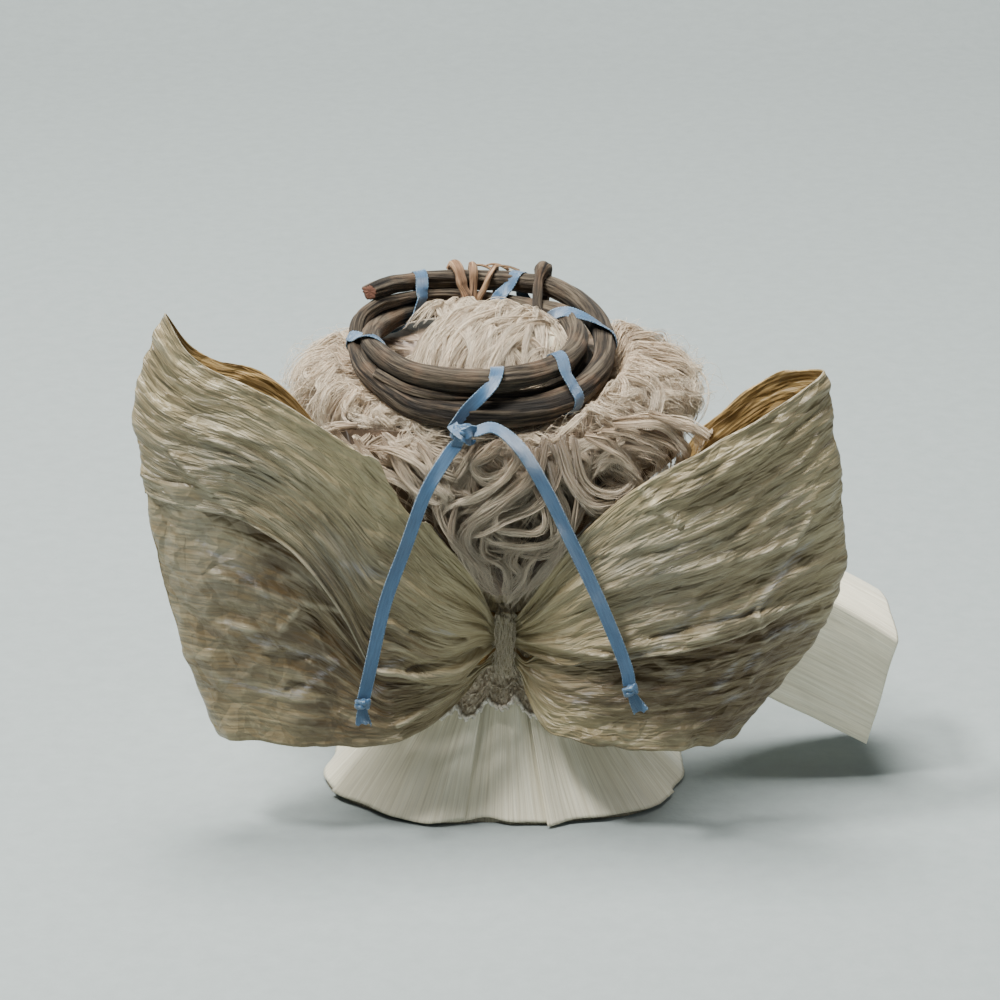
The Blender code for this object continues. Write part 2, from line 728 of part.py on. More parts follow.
def make_sleeve(name, side_turn, pieces, cream, thread):
    root, out, across = arm_frame(side_turn)
    collar = ARM_RADIUS + GAP + HUSK / 2

    def shape(along, around):
        swing = 2 * around - 1
        hang_share = max(0.0, abs(swing) - 0.5) * 2
        start = SLEEVE_START
        length = start + (SLEEVE_LENGTH - start) * along * (1 - SLEEVE_END_CUT_SHARE * hang_share * along)
        centre = arm_centre(root, out, length)
        share = length / SLEEVE_LENGTH
        open_share = ease((share - SLEEVE_OPENING_START_SHARE) / SLEEVE_OPENING_SPAN_SHARE)
        ring_turn = SLEEVE_WRAP * swing
        ring = across * collar * math.sin(ring_turn) + Vector((0, 0, collar * math.cos(ring_turn)))
        wide = collar + (SLEEVE_HALF_WIDTH - collar) * read_table(SLEEVE_WIDTH_SHARES, share)
        crown = collar + (SLEEVE_CROWN - collar) * share
        bend = math.pi / 2 * min(1.0, abs(swing) * 2)
        drop = SLEEVE_HANG_SHARE * ARM_HEIGHT * read_table(SLEEVE_DROP_SHARES, share) * hang_share
        sway = math.copysign(wide * math.sin(bend), swing)
        drape = across * sway + Vector((0, 0, crown * math.cos(bend) - drop))
        return centre + ring.lerp(drape, open_share)

    sleeve = sheet(name, shape, 12, 12, HUSK, cream, pieces)
    centre = arm_centre(root, out, SLEEVE_TIE_PLACE)
    slope = (arm_centre(root, out, SLEEVE_TIE_PLACE + GAP) - centre).normalized()
    radius = collar + HUSK / 2 + GAP + THREAD
    winding(f"{name}_tie", centre, slope, radius, SHORT_TURNS, thread, pieces)
    return sleeve


def make_head(pieces, cream, cotton, thread):
    core = HEAD_RADIUS - HUSK / 2 - GAP
    ball("head_core", (0, 0, HEAD_HEIGHT), (core, core, core), 20, 10, cotton, pieces)
    neck_turn = math.asin(NECK_RADIUS / HEAD_RADIUS)
    steps = 10
    outline = [(0.0, HEAD_RADIUS)]
    for step in range(1, steps + 1):
        turn = (math.pi - neck_turn) * step / steps
        outline.append((HEAD_RADIUS * math.sin(turn), HEAD_RADIUS * math.cos(turn)))
    outline.append((NECK_RADIUS, NECK_LOW - HEAD_HEIGHT))
    mesh = bpy.data.meshes.new("head_husk")
    mesh.from_pydata([(x, 0, z) for x, z in outline], [(i, i + 1) for i in range(len(outline) - 1)], [])
    husk = place("head_husk", mesh, cream, pieces)
    husk.location = (0, 0, HEAD_HEIGHT)
    screw = husk.modifiers.new("turn", "SCREW")
    screw.steps = 20
    screw.render_steps = 20
    screw.use_merge_vertices = True
    screw.merge_threshold = WELD
    solid = husk.modifiers.new("thickness", "SOLIDIFY")
    solid.thickness = HUSK
    solid.offset = 0.0
    rise = THREAD_PITCH * SHORT_TURNS / 2
    radius = NECK_RADIUS + HUSK / 2 + GAP + THREAD
    winding("neck_tie", (0, 0, NECK_TIE_LOW + rise), (0, 0, 1), radius, SHORT_TURNS, thread, pieces)


def wreath_point(turn, radius, height):
    """Point of the tilted wreath at a turn, a radius and a height from its middle plane."""
    tilted = Matrix.Rotation(WREATH_TILT, 3, "X")
    flat = Vector((radius * math.cos(turn), radius * math.sin(turn), height))
    return Vector(WREATH_CENTRE) + tilted @ flat


def bundle_section(turn):
    """Centre radius, top and bottom of the wound vine at a turn, as heights from the middle plane."""
    passed = (VINE_START_TURN - turn) % FULL_TURN / FULL_TURN
    whole_turns = int(VINE_TURN / FULL_TURN)
    lower = whole_turns if passed <= VINE_TURN / FULL_TURN - whole_turns else whole_turns - 1
    top = VINE_TOP - VINE_PITCH * passed
    radius = WREATH_RADIUS + VINE_WAVE * math.sin(VINE_WAVES * turn) + VINE_BULGE / 2
    return radius, top, top - VINE_PITCH * lower


def section_point(turn, round_share, spacing):
    """Point on a path round the bundle: share 0 is under it, 0.25 outside, 0.5 on top, 0.75 inside."""
    radius, top, bottom = bundle_section(turn)
    half_width = VINE_RADIUS + VINE_BULGE / 2 + spacing
    half_height = (top - bottom) / 2 + VINE_RADIUS + spacing
    swing = FULL_TURN * round_share
    outward = math.copysign(abs(math.sin(swing)) ** BUNDLE_ROUNDNESS, math.sin(swing))
    upward = math.copysign(abs(math.cos(swing)) ** BUNDLE_ROUNDNESS, -math.cos(swing))
    return wreath_point(turn, radius + half_width * outward, (top + bottom) / 2 + half_height * upward)


def make_wreath(pieces, bark, dry):
    points = []
    for step in range(VINE_POINTS + 1):
        share = step / VINE_POINTS
        turn = VINE_START_TURN - VINE_TURN * share
        bulge = VINE_BULGE * math.sin(math.pi * share)
        radius = WREATH_RADIUS + VINE_WAVE * math.sin(VINE_WAVES * turn) + bulge
        points.append(wreath_point(turn, radius, VINE_TOP - VINE_PITCH * VINE_TURN * share / FULL_TURN))
    gap = least_gap(points, VINE_RADIUS, int(VINE_POINTS * FULL_TURN / VINE_TURN))
    print(f"wreath_vine: {VINE_TURN / FULL_TURN:.2f} turns, least gap to itself {gap * 1000:.2f} mm")
    tube("wreath_vine", points, VINE_RADIUS, bark, pieces)
    spacing = 2 * GAP + TENDRIL_RADIUS
    for number, (turn_share, slant) in enumerate(zip(TENDRIL_TURN_SHARES, TENDRIL_SLANT_SHARES)):
        route = []
        for step in range(TENDRIL_POINTS + 1):
            passed = step / TENDRIL_POINTS
            turn = FULL_TURN * (turn_share + slant * (0.5 - passed))
            route.append(section_point(turn, TENDRIL_START_SHARE + TENDRIL_SPAN_SHARE * passed, spacing))
        name = "wreath_twig" if number == len(TENDRIL_TURN_SHARES) - 1 else f"tendril_{number + 1}"
        tube(name, route, TENDRIL_RADIUS, dry, pieces)


def ribbon_turn(turns):
    """Place round the wreath, in full turns of it, after so many turns of the ribbon."""
    last = len(RIBBON_TURN_SHARES) - 1
    index = min(int(turns), last)
    rest = turns - index
    here = RIBBON_TURN_SHARES[index] + RIBBON_SLANT_SHARES[index] * (rest - 0.5)
    if rest > 0.5 and index < last:
        ahead = RIBBON_TURN_SHARES[index + 1] + RIBBON_SLANT_SHARES[index + 1] * (rest - 1.5)
        return here + (ahead - here) * ease((rest - 1 + RIBBON_CROSS_SHARE / 2) / RIBBON_CROSS_SHARE)
    if rest < 0.5 and index > 0:
        behind = RIBBON_TURN_SHARES[index - 1] + RIBBON_SLANT_SHARES[index - 1] * (rest + 0.5)
        return behind + (here - behind) * ease((rest + RIBBON_CROSS_SHARE / 2) / RIBBON_CROSS_SHARE)
    return here


def make_ribbon(pieces, satin):
    spacing = 3 * GAP + RIBBON / 2
    turns = len(RIBBON_TURN_SHARES) - 1 + RIBBON_END_SHARE
    start = RIBBON_START_SHARE
    count = int(RIBBON_SAMPLES * turns)
    route = []
    outward = []
    for step in range(count + 1):
        share = start + (turns - start) * step / count
        turn = FULL_TURN * ribbon_turn(share)
        point = section_point(turn, share % 1.0, spacing)
        route.append(point)
        outward.append(section_point(turn, share % 1.0, spacing + RIBBON_WIDTH) - point)
    strip("ribbon_winding", route, lambda i: outward[i], RIBBON_WIDTH, RIBBON, satin, pieces)
    ball("ribbon_knot", KNOT_PLACE, KNOT_HALF_SIZE, 12, 8, satin, pieces)
    for side, chosen in (("left", LEFT_TAIL_ROUTE), ("right", RIGHT_TAIL_ROUTE)):
        knot = Vector(KNOT_PLACE)
        route = [knot + follow(chosen, step / TAIL_SAMPLES) for step in range(TAIL_SAMPLES + 1)]
        length = sum((b - a).length for a, b in zip(route, route[1:]))
        print(f"{side}_ribbon_tail: {length * 1000:.1f} mm")
        strip(f"{side}_ribbon_tail", route, lambda i: Vector((0, -1, 0)), RIBBON_WIDTH, RIBBON, satin, pieces)
        ahead = (route[-1] - route[-2]).normalized()
        centre = route[-1] + ahead * (TAIL_KNOT_RADIUS + GAP)

        def end_knot(turn, share, centre=centre, ahead=ahead):
            ring = round(share * (len(TAIL_KNOT_WIDTH_SHARES) - 1))
            sideways = math.cos(turn) * TAIL_KNOT_WIDTH_SHARES[ring] + TAIL_KNOT_LEAN_SHARES[ring]
            deep = math.sin(turn) * TAIL_KNOT_DEPTH_SHARES[ring]
            across = Vector((sideways, deep, 0)) * TAIL_KNOT_RADIUS
            return centre + ahead * TAIL_KNOT_DOWN_SHARES[ring] * TAIL_KNOT_RADIUS + across

        column(f"{side}_tail_knot", end_knot, 12, len(TAIL_KNOT_WIDTH_SHARES) - 1, satin, pieces)


def make_hair(pieces, cutters, wool):
    cap = ball("hair_cap", HAIR_CENTRE, HAIR_HALF_SIZE, HAIR_SEGMENTS, HAIR_RINGS, wool, pieces)
    crown = ball("hair_crown", CROWN_CENTRE, CROWN_HALF_SIZE, 20, 10, wool, cutters)
    join_or_cut(cap, crown, "UNION")
    spacing = GAP + 2 * TENDRIL_RADIUS + GAP
    half_width = VINE_RADIUS + VINE_BULGE / 2 + VINE_WAVE + spacing
    middle = WREATH_RADIUS + VINE_BULGE / 2
    floor = VINE_TOP - VINE_PITCH * VINE_TURN / FULL_TURN - VINE_RADIUS - RIBBON - 4 * GAP
    outline = (
        (middle + half_width, OVERRUN * 5),
        (middle + half_width, floor),
        (middle - half_width, floor),
        (middle - half_width, OVERRUN * 5),
    )
    mesh = bpy.data.meshes.new("wreath_groove")
    mesh.from_pydata([(x, 0, z) for x, z in outline], [(0, 1), (1, 2), (2, 3), (3, 0)], [])
    groove = place("wreath_groove", mesh, None, cutters)
    groove.location = WREATH_CENTRE
    groove.rotation_euler = (WREATH_TILT, 0, 0)
    screw = groove.modifiers.new("turn", "SCREW")
    screw.steps = 32
    screw.render_steps = 32
    screw.use_merge_vertices = True
    screw.merge_threshold = WELD
    join_or_cut(cap, groove, "DIFFERENCE")
    clear = HEAD_RADIUS + HUSK / 2 + 2 * GAP
    skull = ball("hair_inside", (0, 0, HEAD_HEIGHT), (clear, clear, clear), 20, 10, None, cutters)
    join_or_cut(cap, skull, "DIFFERENCE")
    face_size = (FACE_HALF_WIDTH, HAIR_HALF_SIZE[1], FACE_HALF_HEIGHT)
    face = ball("face_opening", (0, HAIR_HALF_SIZE[1], FACE_HEIGHT), face_size, 20, 12, None, cutters)
    join_or_cut(cap, face, "DIFFERENCE")
    wide = HAIR_HALF_SIZE[0] + OVERRUN
    deep = HAIR_HALF_SIZE[1] + OVERRUN
    low = HAIR_CENTRE[2] - HAIR_HALF_SIZE[2] - OVERRUN

    def nape(turn, share):
        height = low + (HEAD_HEIGHT - low) * share
        return Vector((NAPE_RADIUS * math.cos(turn), NAPE_RADIUS * math.sin(turn), height))

    join_or_cut(cap, column("nape_opening", nape, 24, 1, None, cutters), "DIFFERENCE")
    back = box("hair_under", (-wide, -deep, low), (wide, deep, HAIR_LOW_BACK), cutters)
    join_or_cut(cap, back, "DIFFERENCE")
    front = box("hair_under_front", (-wide, HAIR_STEP_PLACE, low), (wide, deep, HAIR_LOW_FRONT), cutters)
    join_or_cut(cap, front, "DIFFERENCE")

    def fall(turn, share):
        height = FALL_LOW + (FALL_TOP - FALL_LOW) * share
        wide = FALL_HALF_WIDTH * read_table(FALL_WIDTH_SHARES, share)
        deep = FALL_HALF_DEPTH * (FALL_TIP_DEPTH_SHARE + (1 - FALL_TIP_DEPTH_SHARE) * share)
        return Vector((wide * math.cos(turn), FALL_MIDDLE + deep * math.sin(turn), height))

    back_hair = column("hair_back", fall, 16, 6, wool, pieces)
    seat_size = [half + GAP for half in HAIR_HALF_SIZE]
    seat = ball("fall_seat", HAIR_CENTRE, seat_size, HAIR_SEGMENTS, HAIR_RINGS, None, cutters)
    join_or_cut(back_hair, seat, "DIFFERENCE")


def pleat(x, z):
    """Depth of the pleats that fan out from the tie."""
    turn = math.atan2(z - TIE_PLACE[2], abs(x))
    rise = ease((abs(x) - PLEAT_START) / (PLEAT_FULL - PLEAT_START))
    fade = 1 - PLEAT_FADE_SHARE * ease(abs(x) / WING_REACH)
    return PLEAT_DEPTH * rise * fade * math.sin(PLEAT_RATE * turn)


def wing_husk(name, side, reach, shares, upper, husk, pieces):
    def shape(along, up):
        reach_share, depth_share = follow([(*key, 0.0) for key in LOOP_SHARES], along)[:2]
        rear = along < 0.5
        if upper:
            top_table = shares["top_rear"] if rear else shares["top_front"]
            low_table = shares["flap"]
        else:
            top_table = shares["hidden"]
            low_table = shares["bottom"]
        held = min(reach_share, 1.0)
        low = read_table(low_table, held)
        high = read_table(top_table, held)
        z = TIE_PLACE[2] + (low + (high - low) * up - TIE_SHARE) * WING_SPAN
        fold_low = low_table[-1][1]
        fold_high = top_table[-1][1]
        fold = read_table(shares["fold"], fold_low + (fold_high - fold_low) * up)
        inset = 0.0 if upper else WING_LAYER * ease((reach_share * reach - PLEAT_START) / BAND_WIDTH)
        near_fold = ease((reach_share - 1 + FOLD_SHARE) / FOLD_SHARE)
        x = side * (reach_share * fold * reach - inset * near_fold)
        inward = min(max((0.5 - along) / FOLD_TURN_SHARE, -1.0), 1.0)
        y = TIE_PLACE[1] - depth_share * WING_DEPTH + inset * inward + pleat(x, z)
        return Vector((x, y, z))

    return sheet(name, shape, 36, 8 if upper else 4, HUSK, husk, pieces)


def make_wings(pieces, husk, glue, waist_outside):
    for side, label, reach, shares in (
        (-1, "left", WING_REACH, LEFT_WING_SHARES),
        (1, "right", RIGHT_WING_REACH, RIGHT_WING_SHARES),
    ):
        wing_husk(f"{label}_wing_upper", side, reach, shares, True, husk, pieces)
        wing_husk(f"{label}_wing_lower", side, reach, shares, False, husk, pieces)
    half_depth = (GATHER_REAR + GATHER_FRONT) / 2 + GAP + BAND / 2
    half_height = GATHER_HALF_HEIGHT + GAP + BAND / 2
    middle = TIE_PLACE[1] - (GATHER_REAR - GATHER_FRONT) / 2

    def band(around, across):
        turn = FULL_TURN * around
        deep = math.copysign(math.sqrt(abs(math.cos(turn))), math.cos(turn)) * half_depth
        high = math.copysign(math.sqrt(abs(math.sin(turn))), math.sin(turn)) * half_height
        return Vector(((across - 0.5) * BAND_WIDTH, middle + deep, TIE_PLACE[2] + high))

    sheet("wing_band", band, 32, 1, BAND, husk, pieces)
    rear = middle + half_depth + BAND / 2 + GAP
    front = -waist_outside - GAP

    def dab(turn, share):
        wide = DAB_HALF_WIDTH * math.cos(turn)
        high = DAB_HALF_HEIGHT * math.sin(turn)
        return Vector((wide, rear + (front - rear) * share, DAB_HEIGHT + high))

    column("wing_glue_dab", dab, 12, 1, glue, pieces)


def main():
    clear_scene()
    pieces = new_collection("corn_husk_doll")
    cutters = new_collection("cutters", hidden=True)
    cream = finish("cream_husk", (0.78, 0.74, 0.60), 0.55)
    pale = finish("pale_husk", (0.66, 0.61, 0.47), 0.65)
    khaki = finish("wing_husk", (0.38, 0.33, 0.21), 0.60)
    ecru = finish("ecru_lace", (0.55, 0.47, 0.34), 0.85)
    thread = finish("thread", (0.62, 0.55, 0.40), 0.75)
    cotton = finish("head_cotton", (0.85, 0.83, 0.78), 0.90)
    wire = finish("arm_wire", (0.55, 0.55, 0.53), 0.40, 1.0)
    wool = finish("mohair", (0.68, 0.57, 0.44), 0.80)
    bark = finish("grapevine", (0.17, 0.13, 0.10), 0.80)
    dry = finish("dry_tendril", (0.36, 0.21, 0.12), 0.75)
    satin = finish("blue_satin", (0.27, 0.49, 0.66), 0.35)
    glue = finish("glue", (0.80, 0.76, 0.62), 0.30)

    make_skirt(pieces, pale, cream)
    make_lace(pieces, ecru)
    waist_outside = make_waist(pieces, thread, cream)
    make_torso(pieces, pale)
    make_straps(pieces, cream)
    make_arm("right_arm", RIGHT_ARM_TURN, pieces, cutters, pale, thread, wire)
    make_arm("left_arm", LEFT_ARM_TURN, pieces, cutters, pale, thread, wire)
    make_sleeve("right_sleeve", RIGHT_ARM_TURN, pieces, cream, thread)
    make_sleeve("left_sleeve", LEFT_ARM_TURN, pieces, cream, thread)
    make_head(pieces, cream, cotton, thread)
    make_wings(pieces, khaki, glue, waist_outside)
    make_wreath(pieces, bark, dry)
    make_ribbon(pieces, satin)
    make_hair(pieces, cutters, wool)
    for side, turn in (("right", RIGHT_ARM_TURN), ("left", LEFT_ARM_TURN)):
        root = arm_frame(turn)[0]
        names = ("arm", "arm_wire", "wrist_tie", "sleeve", "sleeve_tie")
        hang_on(f"{side}_shoulder_pivot", root, pieces, [f"{side}_{name}" for name in names])
    hang_on("head_pivot", (0, 0, NECK_LOW), pieces, HEAD_PIECES)
    for item in cutters.objects:
        item.hide_render = True
        item.display_type = "WIRE"


main()
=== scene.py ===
# %% [markdown]
# # A corn husk angel doll, dressed in Blender
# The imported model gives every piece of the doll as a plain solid, in metres, with the joints that
# move it. Here each solid gets the form and finish of the real thing: dry husk with ribs and tears,
# a wound grapevine wreath, curly mohair, crocheted lace and satin ribbon. The doll is seen from
# behind, as its wings, wreath and ribbon are what it was made to show.

# %% Load the model and keep its size
import itertools
import json
import math

import bpy
import numpy as np
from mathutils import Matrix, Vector


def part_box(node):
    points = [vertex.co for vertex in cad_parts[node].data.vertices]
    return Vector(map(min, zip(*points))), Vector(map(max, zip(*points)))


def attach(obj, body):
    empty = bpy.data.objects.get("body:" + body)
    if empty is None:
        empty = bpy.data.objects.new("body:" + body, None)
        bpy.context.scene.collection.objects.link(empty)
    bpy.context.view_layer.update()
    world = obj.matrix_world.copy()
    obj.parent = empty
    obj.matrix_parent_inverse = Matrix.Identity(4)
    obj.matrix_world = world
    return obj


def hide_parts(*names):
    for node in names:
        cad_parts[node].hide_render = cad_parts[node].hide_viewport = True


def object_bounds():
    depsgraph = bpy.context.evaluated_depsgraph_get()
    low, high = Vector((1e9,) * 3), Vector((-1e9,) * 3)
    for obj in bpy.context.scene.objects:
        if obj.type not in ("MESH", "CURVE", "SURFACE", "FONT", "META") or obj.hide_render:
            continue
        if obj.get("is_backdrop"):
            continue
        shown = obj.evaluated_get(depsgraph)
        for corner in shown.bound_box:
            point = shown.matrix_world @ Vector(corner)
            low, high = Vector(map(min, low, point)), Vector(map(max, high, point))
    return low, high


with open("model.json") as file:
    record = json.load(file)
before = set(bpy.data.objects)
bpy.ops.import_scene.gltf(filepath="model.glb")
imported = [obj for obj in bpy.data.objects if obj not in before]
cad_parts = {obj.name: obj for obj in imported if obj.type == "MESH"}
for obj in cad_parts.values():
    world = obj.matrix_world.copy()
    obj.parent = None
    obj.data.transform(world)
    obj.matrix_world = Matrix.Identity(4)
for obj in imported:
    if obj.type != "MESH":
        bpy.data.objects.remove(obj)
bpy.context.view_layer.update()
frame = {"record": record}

# %% [markdown]
# The camera comes first, because the ribbon tails are checked against its view. It stands 0.76 m
# behind the doll and looks down by 22 degrees with a long lens, so the wings keep their shape.

# %% Camera
CAMERA_PLACE = (-0.0010, -0.7586, 0.3693)
LOOK_DOWN = math.radians(22.0)
LENS = 141.1
SENSOR = 36.0
camera_data = bpy.data.cameras.new("camera")
camera_data.lens = LENS
camera_data.sensor_width = SENSOR
camera = bpy.data.objects.new("camera", camera_data)
camera.location = CAMERA_PLACE
camera.rotation_euler = (math.pi / 2 - LOOK_DOWN, 0, 0)
bpy.context.scene.collection.objects.link(camera)
bpy.context.scene.camera = camera
print("camera looks down by", round(math.degrees(LOOK_DOWN)), "degrees")

# %% [markdown]
# Almost every piece is a sheet or a rod that follows a line, so a few helpers carry the whole doll.
# `read` turns a short table into a smooth curve. `noise` gives repeatable unevenness, since nothing
# on a dried plant is even. `mesh_piece` and `sheet_piece` turn a grid of points into a mesh, and keep for
# each point how far along and across the material it lies, so that fibres can run the right way.

# %% Helpers for curves and unevenness
MM = 0.001
TURN = 2 * math.pi
rng = np.random.default_rng(12)


def read(table, at):
    """Smooth values at some places, from rows of (place, value, ...)."""
    table = np.array(table, float)
    x, y = table[:, 0], table[:, 1:]
    slope = np.gradient(y, x, axis=0)
    at = np.clip(np.asarray(at, float), x[0], x[-1])
    i = np.clip(np.searchsorted(x, at, side="right") - 1, 0, len(x) - 2)
    width = (x[i + 1] - x[i])[..., None]
    t = (at - x[i])[..., None] / width
    s = 1 - t
    found = y[i] * s * s * (1 + 2 * t) + y[i + 1] * t * t * (1 + 2 * s)
    found = found + width * s * t * (slope[i] * s - slope[i + 1] * t)
    return found[..., 0] if found.shape[-1] == 1 else found


def ease(share):
    held = np.clip(share, 0.0, 1.0)
    return held * held * (3 - 2 * held)


def noise(*places, seed=0):
    """Smooth unevenness from -1 to 1, with lumps one unit wide."""
    places = np.stack(np.broadcast_arrays(*places), axis=-1).astype(float)
    cell = np.floor(places).astype(np.int64)
    part = ease(places - cell)
    total = np.zeros(places.shape[:-1])
    primes = np.array([73856093, 19349663, 83492791])[: places.shape[-1]]
    for corner in itertools.product((0, 1), repeat=places.shape[-1]):
        key = ((cell + corner) * primes).sum(-1) + 7919 * seed
        key = (key ^ (key >> 13)) * 1274126177 & 0x7FFFFFFF
        key = (key ^ (key >> 15)) * 668265263 & 0x7FFFFFFF
        value = ((key >> 8) & 0xFFFF) / 32767.5 - 1
        total += value * np.where(corner, part, 1 - part).prod(-1)
    return total


def rough(*places, seed=0, octaves=3):
    """Noise with finer and weaker noise laid over it."""
    return sum(noise(*[p * 2**k for p in places], seed=seed + 31 * k) / 2**k for k in range(octaves))


def along(points):
    """Length passed at each point of a path."""
    steps = np.linalg.norm(np.diff(points, axis=0), axis=1)
    return np.concatenate([[0], np.cumsum(steps)])


def even_path(points, count):
    """The same smooth path through the points, in even steps."""
    points = np.array(points, float)
    fine = read(np.column_stack([np.arange(len(points)), points]), np.linspace(0, len(points) - 1, 40 * len(points)))
    return read(np.column_stack([along(fine), fine]), np.linspace(0, along(fine)[-1], count))


# %% Helpers that make meshes
def mesh_piece(name, points, faces, materials, body, lay, kinds=None, marks=None):
    """A piece from points and four-sided faces. lay holds the place of each point in its material."""
    mesh = bpy.data.meshes.new(name)
    points, faces = points.reshape(-1, 3), np.asarray(faces)
    mesh.vertices.add(len(points))
    mesh.vertices.foreach_set("co", points.astype(np.float32).ravel())
    mesh.loops.add(faces.size)
    mesh.loops.foreach_set("vertex_index", faces.astype(np.int32).ravel())
    mesh.polygons.add(len(faces))
    mesh.polygons.foreach_set("loop_start", np.arange(0, faces.size, faces.shape[1], dtype=np.int32))
    for material in materials:
        mesh.materials.append(material)
    if kinds is not None:
        mesh.polygons.foreach_set("material_index", np.asarray(kinds, np.int32))
    layer = mesh.attributes.new("lay", "FLOAT_VECTOR", "POINT")
    layer.data.foreach_set("vector", lay.reshape(-1, 3).astype(np.float32).ravel())
    for mark, values in (marks or {}).items():
        layer = mesh.attributes.new(mark, "FLOAT", "POINT")
        layer.data.foreach_set("value", values.astype(np.float32).ravel())
    mesh.update(calc_edges=True)
    mesh.validate()
    mesh.shade_smooth()
    piece = bpy.data.objects.new(name, mesh)
    bpy.context.scene.collection.objects.link(piece)
    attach(piece, body)
    return piece


def grid_faces(rows, columns, closed_rows=False, closed_columns=False):
    """Corners of the faces of a grid whose points are numbered row by row."""
    row = np.arange(rows if closed_rows else rows - 1)[:, None]
    column = np.arange(columns if closed_columns else columns - 1)[None, :]
    next_row, next_column = (row + 1) % rows, (column + 1) % columns
    corners = [row * columns + column, row * columns + next_column]
    corners += [next_row * columns + next_column, next_row * columns + column]
    return np.stack(np.broadcast_arrays(*corners), axis=-1).reshape(-1, 4)


def normals(grid, closed=False):
    """Outward direction at each point of a grid."""
    if closed:
        padded = np.concatenate([grid[:, -1:], grid, grid[:, :1]], axis=1)
        across = padded[:, 2:] - padded[:, :-2]
    else:
        across = np.gradient(grid, axis=1)
    found = np.cross(across, np.gradient(grid, axis=0))
    return found / np.maximum(np.linalg.norm(found, axis=-1, keepdims=True), 1e-12)


def sheet_piece(name, grid, thickness, materials, body, lay, marks=None, closed=False):
    """A thin sheet with two faces and a rim: materials are its outer face, inner face and rim."""
    rows, columns = grid.shape[:2]
    half = normals(grid, closed) * thickness / 2
    faces = grid_faces(rows, columns, closed_columns=closed)
    count = rows * columns
    index = np.arange(count).reshape(rows, columns)
    edges = [index[0], index[-1][::-1]]
    if not closed:
        edges += [index[::-1, 0], index[:, -1]]
    rims = []
    for edge in edges:
        ends = np.stack([edge, np.roll(edge, -1)], axis=-1)
        ends = ends if closed else ends[:-1]
        rims.append(np.stack([ends[:, 1], ends[:, 0], ends[:, 0] + count, ends[:, 1] + count], axis=-1))
    rims = np.concatenate(rims)
    every = np.concatenate([faces, faces[:, ::-1] + count, rims])
    kinds = np.concatenate([np.zeros(len(faces)), np.full(len(faces), min(1, len(materials) - 1))])
    kinds = np.concatenate([kinds, np.full(len(rims), min(2, len(materials) - 1))])
    points = np.stack([grid + half, grid - half])
    lays = np.stack([lay, lay + [0, 1, 0]])
    doubled = {mark: np.stack([value, value]) for mark, value in (marks or {}).items()}
    return mesh_piece(name, points, every, materials, body, lays, kinds, doubled)


def rod_grid(path, radius, sides, up=(0.0, 0.0, 1.0)):
    """Rings of points round a path, with the turn of each point round it."""
    path = np.asarray(path, float)
    ahead = np.gradient(path, axis=0)
    ahead /= np.linalg.norm(ahead, axis=1, keepdims=True)
    out = np.cross(ahead, np.asarray(up, float))
    out /= np.maximum(np.linalg.norm(out, axis=1, keepdims=True), 1e-9)
    over = np.cross(out, ahead)
    turn = np.arange(sides) * TURN / sides
    radius = np.broadcast_to(np.asarray(radius, float), (len(path), sides) if np.ndim(radius) == 2 else (len(path),))
    radius = radius if radius.ndim == 2 else radius[:, None]
    ring = out[:, None] * np.cos(turn)[None, :, None] + over[:, None] * np.sin(turn)[None, :, None]
    return path[:, None] + ring * radius[..., None], turn


def rod_piece(name, path, radius, sides, materials, body, up=(0.0, 0.0, 1.0)):
    """A closed rod along a path, with rounded-off flat ends."""
    grid, turn = rod_grid(path, radius, sides, up)
    passed = along(np.asarray(path))
    size = np.mean(radius)
    lay = np.stack(np.broadcast_arrays(passed[:, None], size * np.cos(turn), size * np.sin(turn)), axis=-1)
    ends = [path[0], path[-1]]
    grid = np.concatenate([np.repeat(np.array(ends[0])[None, None], sides, 1), grid, np.repeat(np.array(ends[1])[None, None], sides, 1)])
    lay = np.concatenate([lay[:1], lay, lay[-1:]])
    rows = len(grid)
    return mesh_piece(name, grid, grid_faces(rows, sides, closed_columns=True), materials, body, lay)


print("helpers are ready")

# %% [markdown]
# Materials are mixed from nodes. Each reads the place of a point in its sheet or strand, so fibres,
# threads and weave follow the piece wherever it bends. `add` puts a node in a material and joins it.

# %% Helpers for materials
def new_material(name, roughness, sheen=0.0, specular=0.5):
    material = bpy.data.materials.new(name)
    material.use_nodes = True
    tree = material.node_tree
    shader = tree.nodes["Principled BSDF"]
    shader.inputs["Roughness"].default_value = roughness
    shader.inputs["Sheen Weight"].default_value = sheen
    shader.inputs["Specular IOR Level"].default_value = specular
    return material, tree, shader


def add(tree, kind, values=None, **settings):
    """A node with its settings, and its inputs set to numbers or joined to other nodes' outputs."""
    node = tree.nodes.new(kind)
    for key, value in settings.items():
        setattr(node, key, value)
    for key, value in (values or {}).items():
        if isinstance(value, bpy.types.NodeSocket):
            tree.links.new(value, node.inputs[key])
        else:
            node.inputs[key].default_value = value
    return node


def laid(tree, scale, name="lay"):
    """The place in the material, in metres, times a scale along, across and through."""
    place = add(tree, "ShaderNodeAttribute", attribute_name=name)
    return add(tree, "ShaderNodeMapping", {"Vector": place.outputs["Vector"], "Scale": scale}).outputs["Vector"]


def mark_value(tree, name):
    return add(tree, "ShaderNodeAttribute", attribute_name=name).outputs["Fac"]


def grain(tree, vector, detail=6.0, harsh=0.6, scale=1.0, warp=0.0):
    values = {"Vector": vector, "Scale": scale, "Detail": detail, "Roughness": harsh, "Distortion": warp}
    return add(tree, "ShaderNodeTexNoise", values).outputs["Fac"]


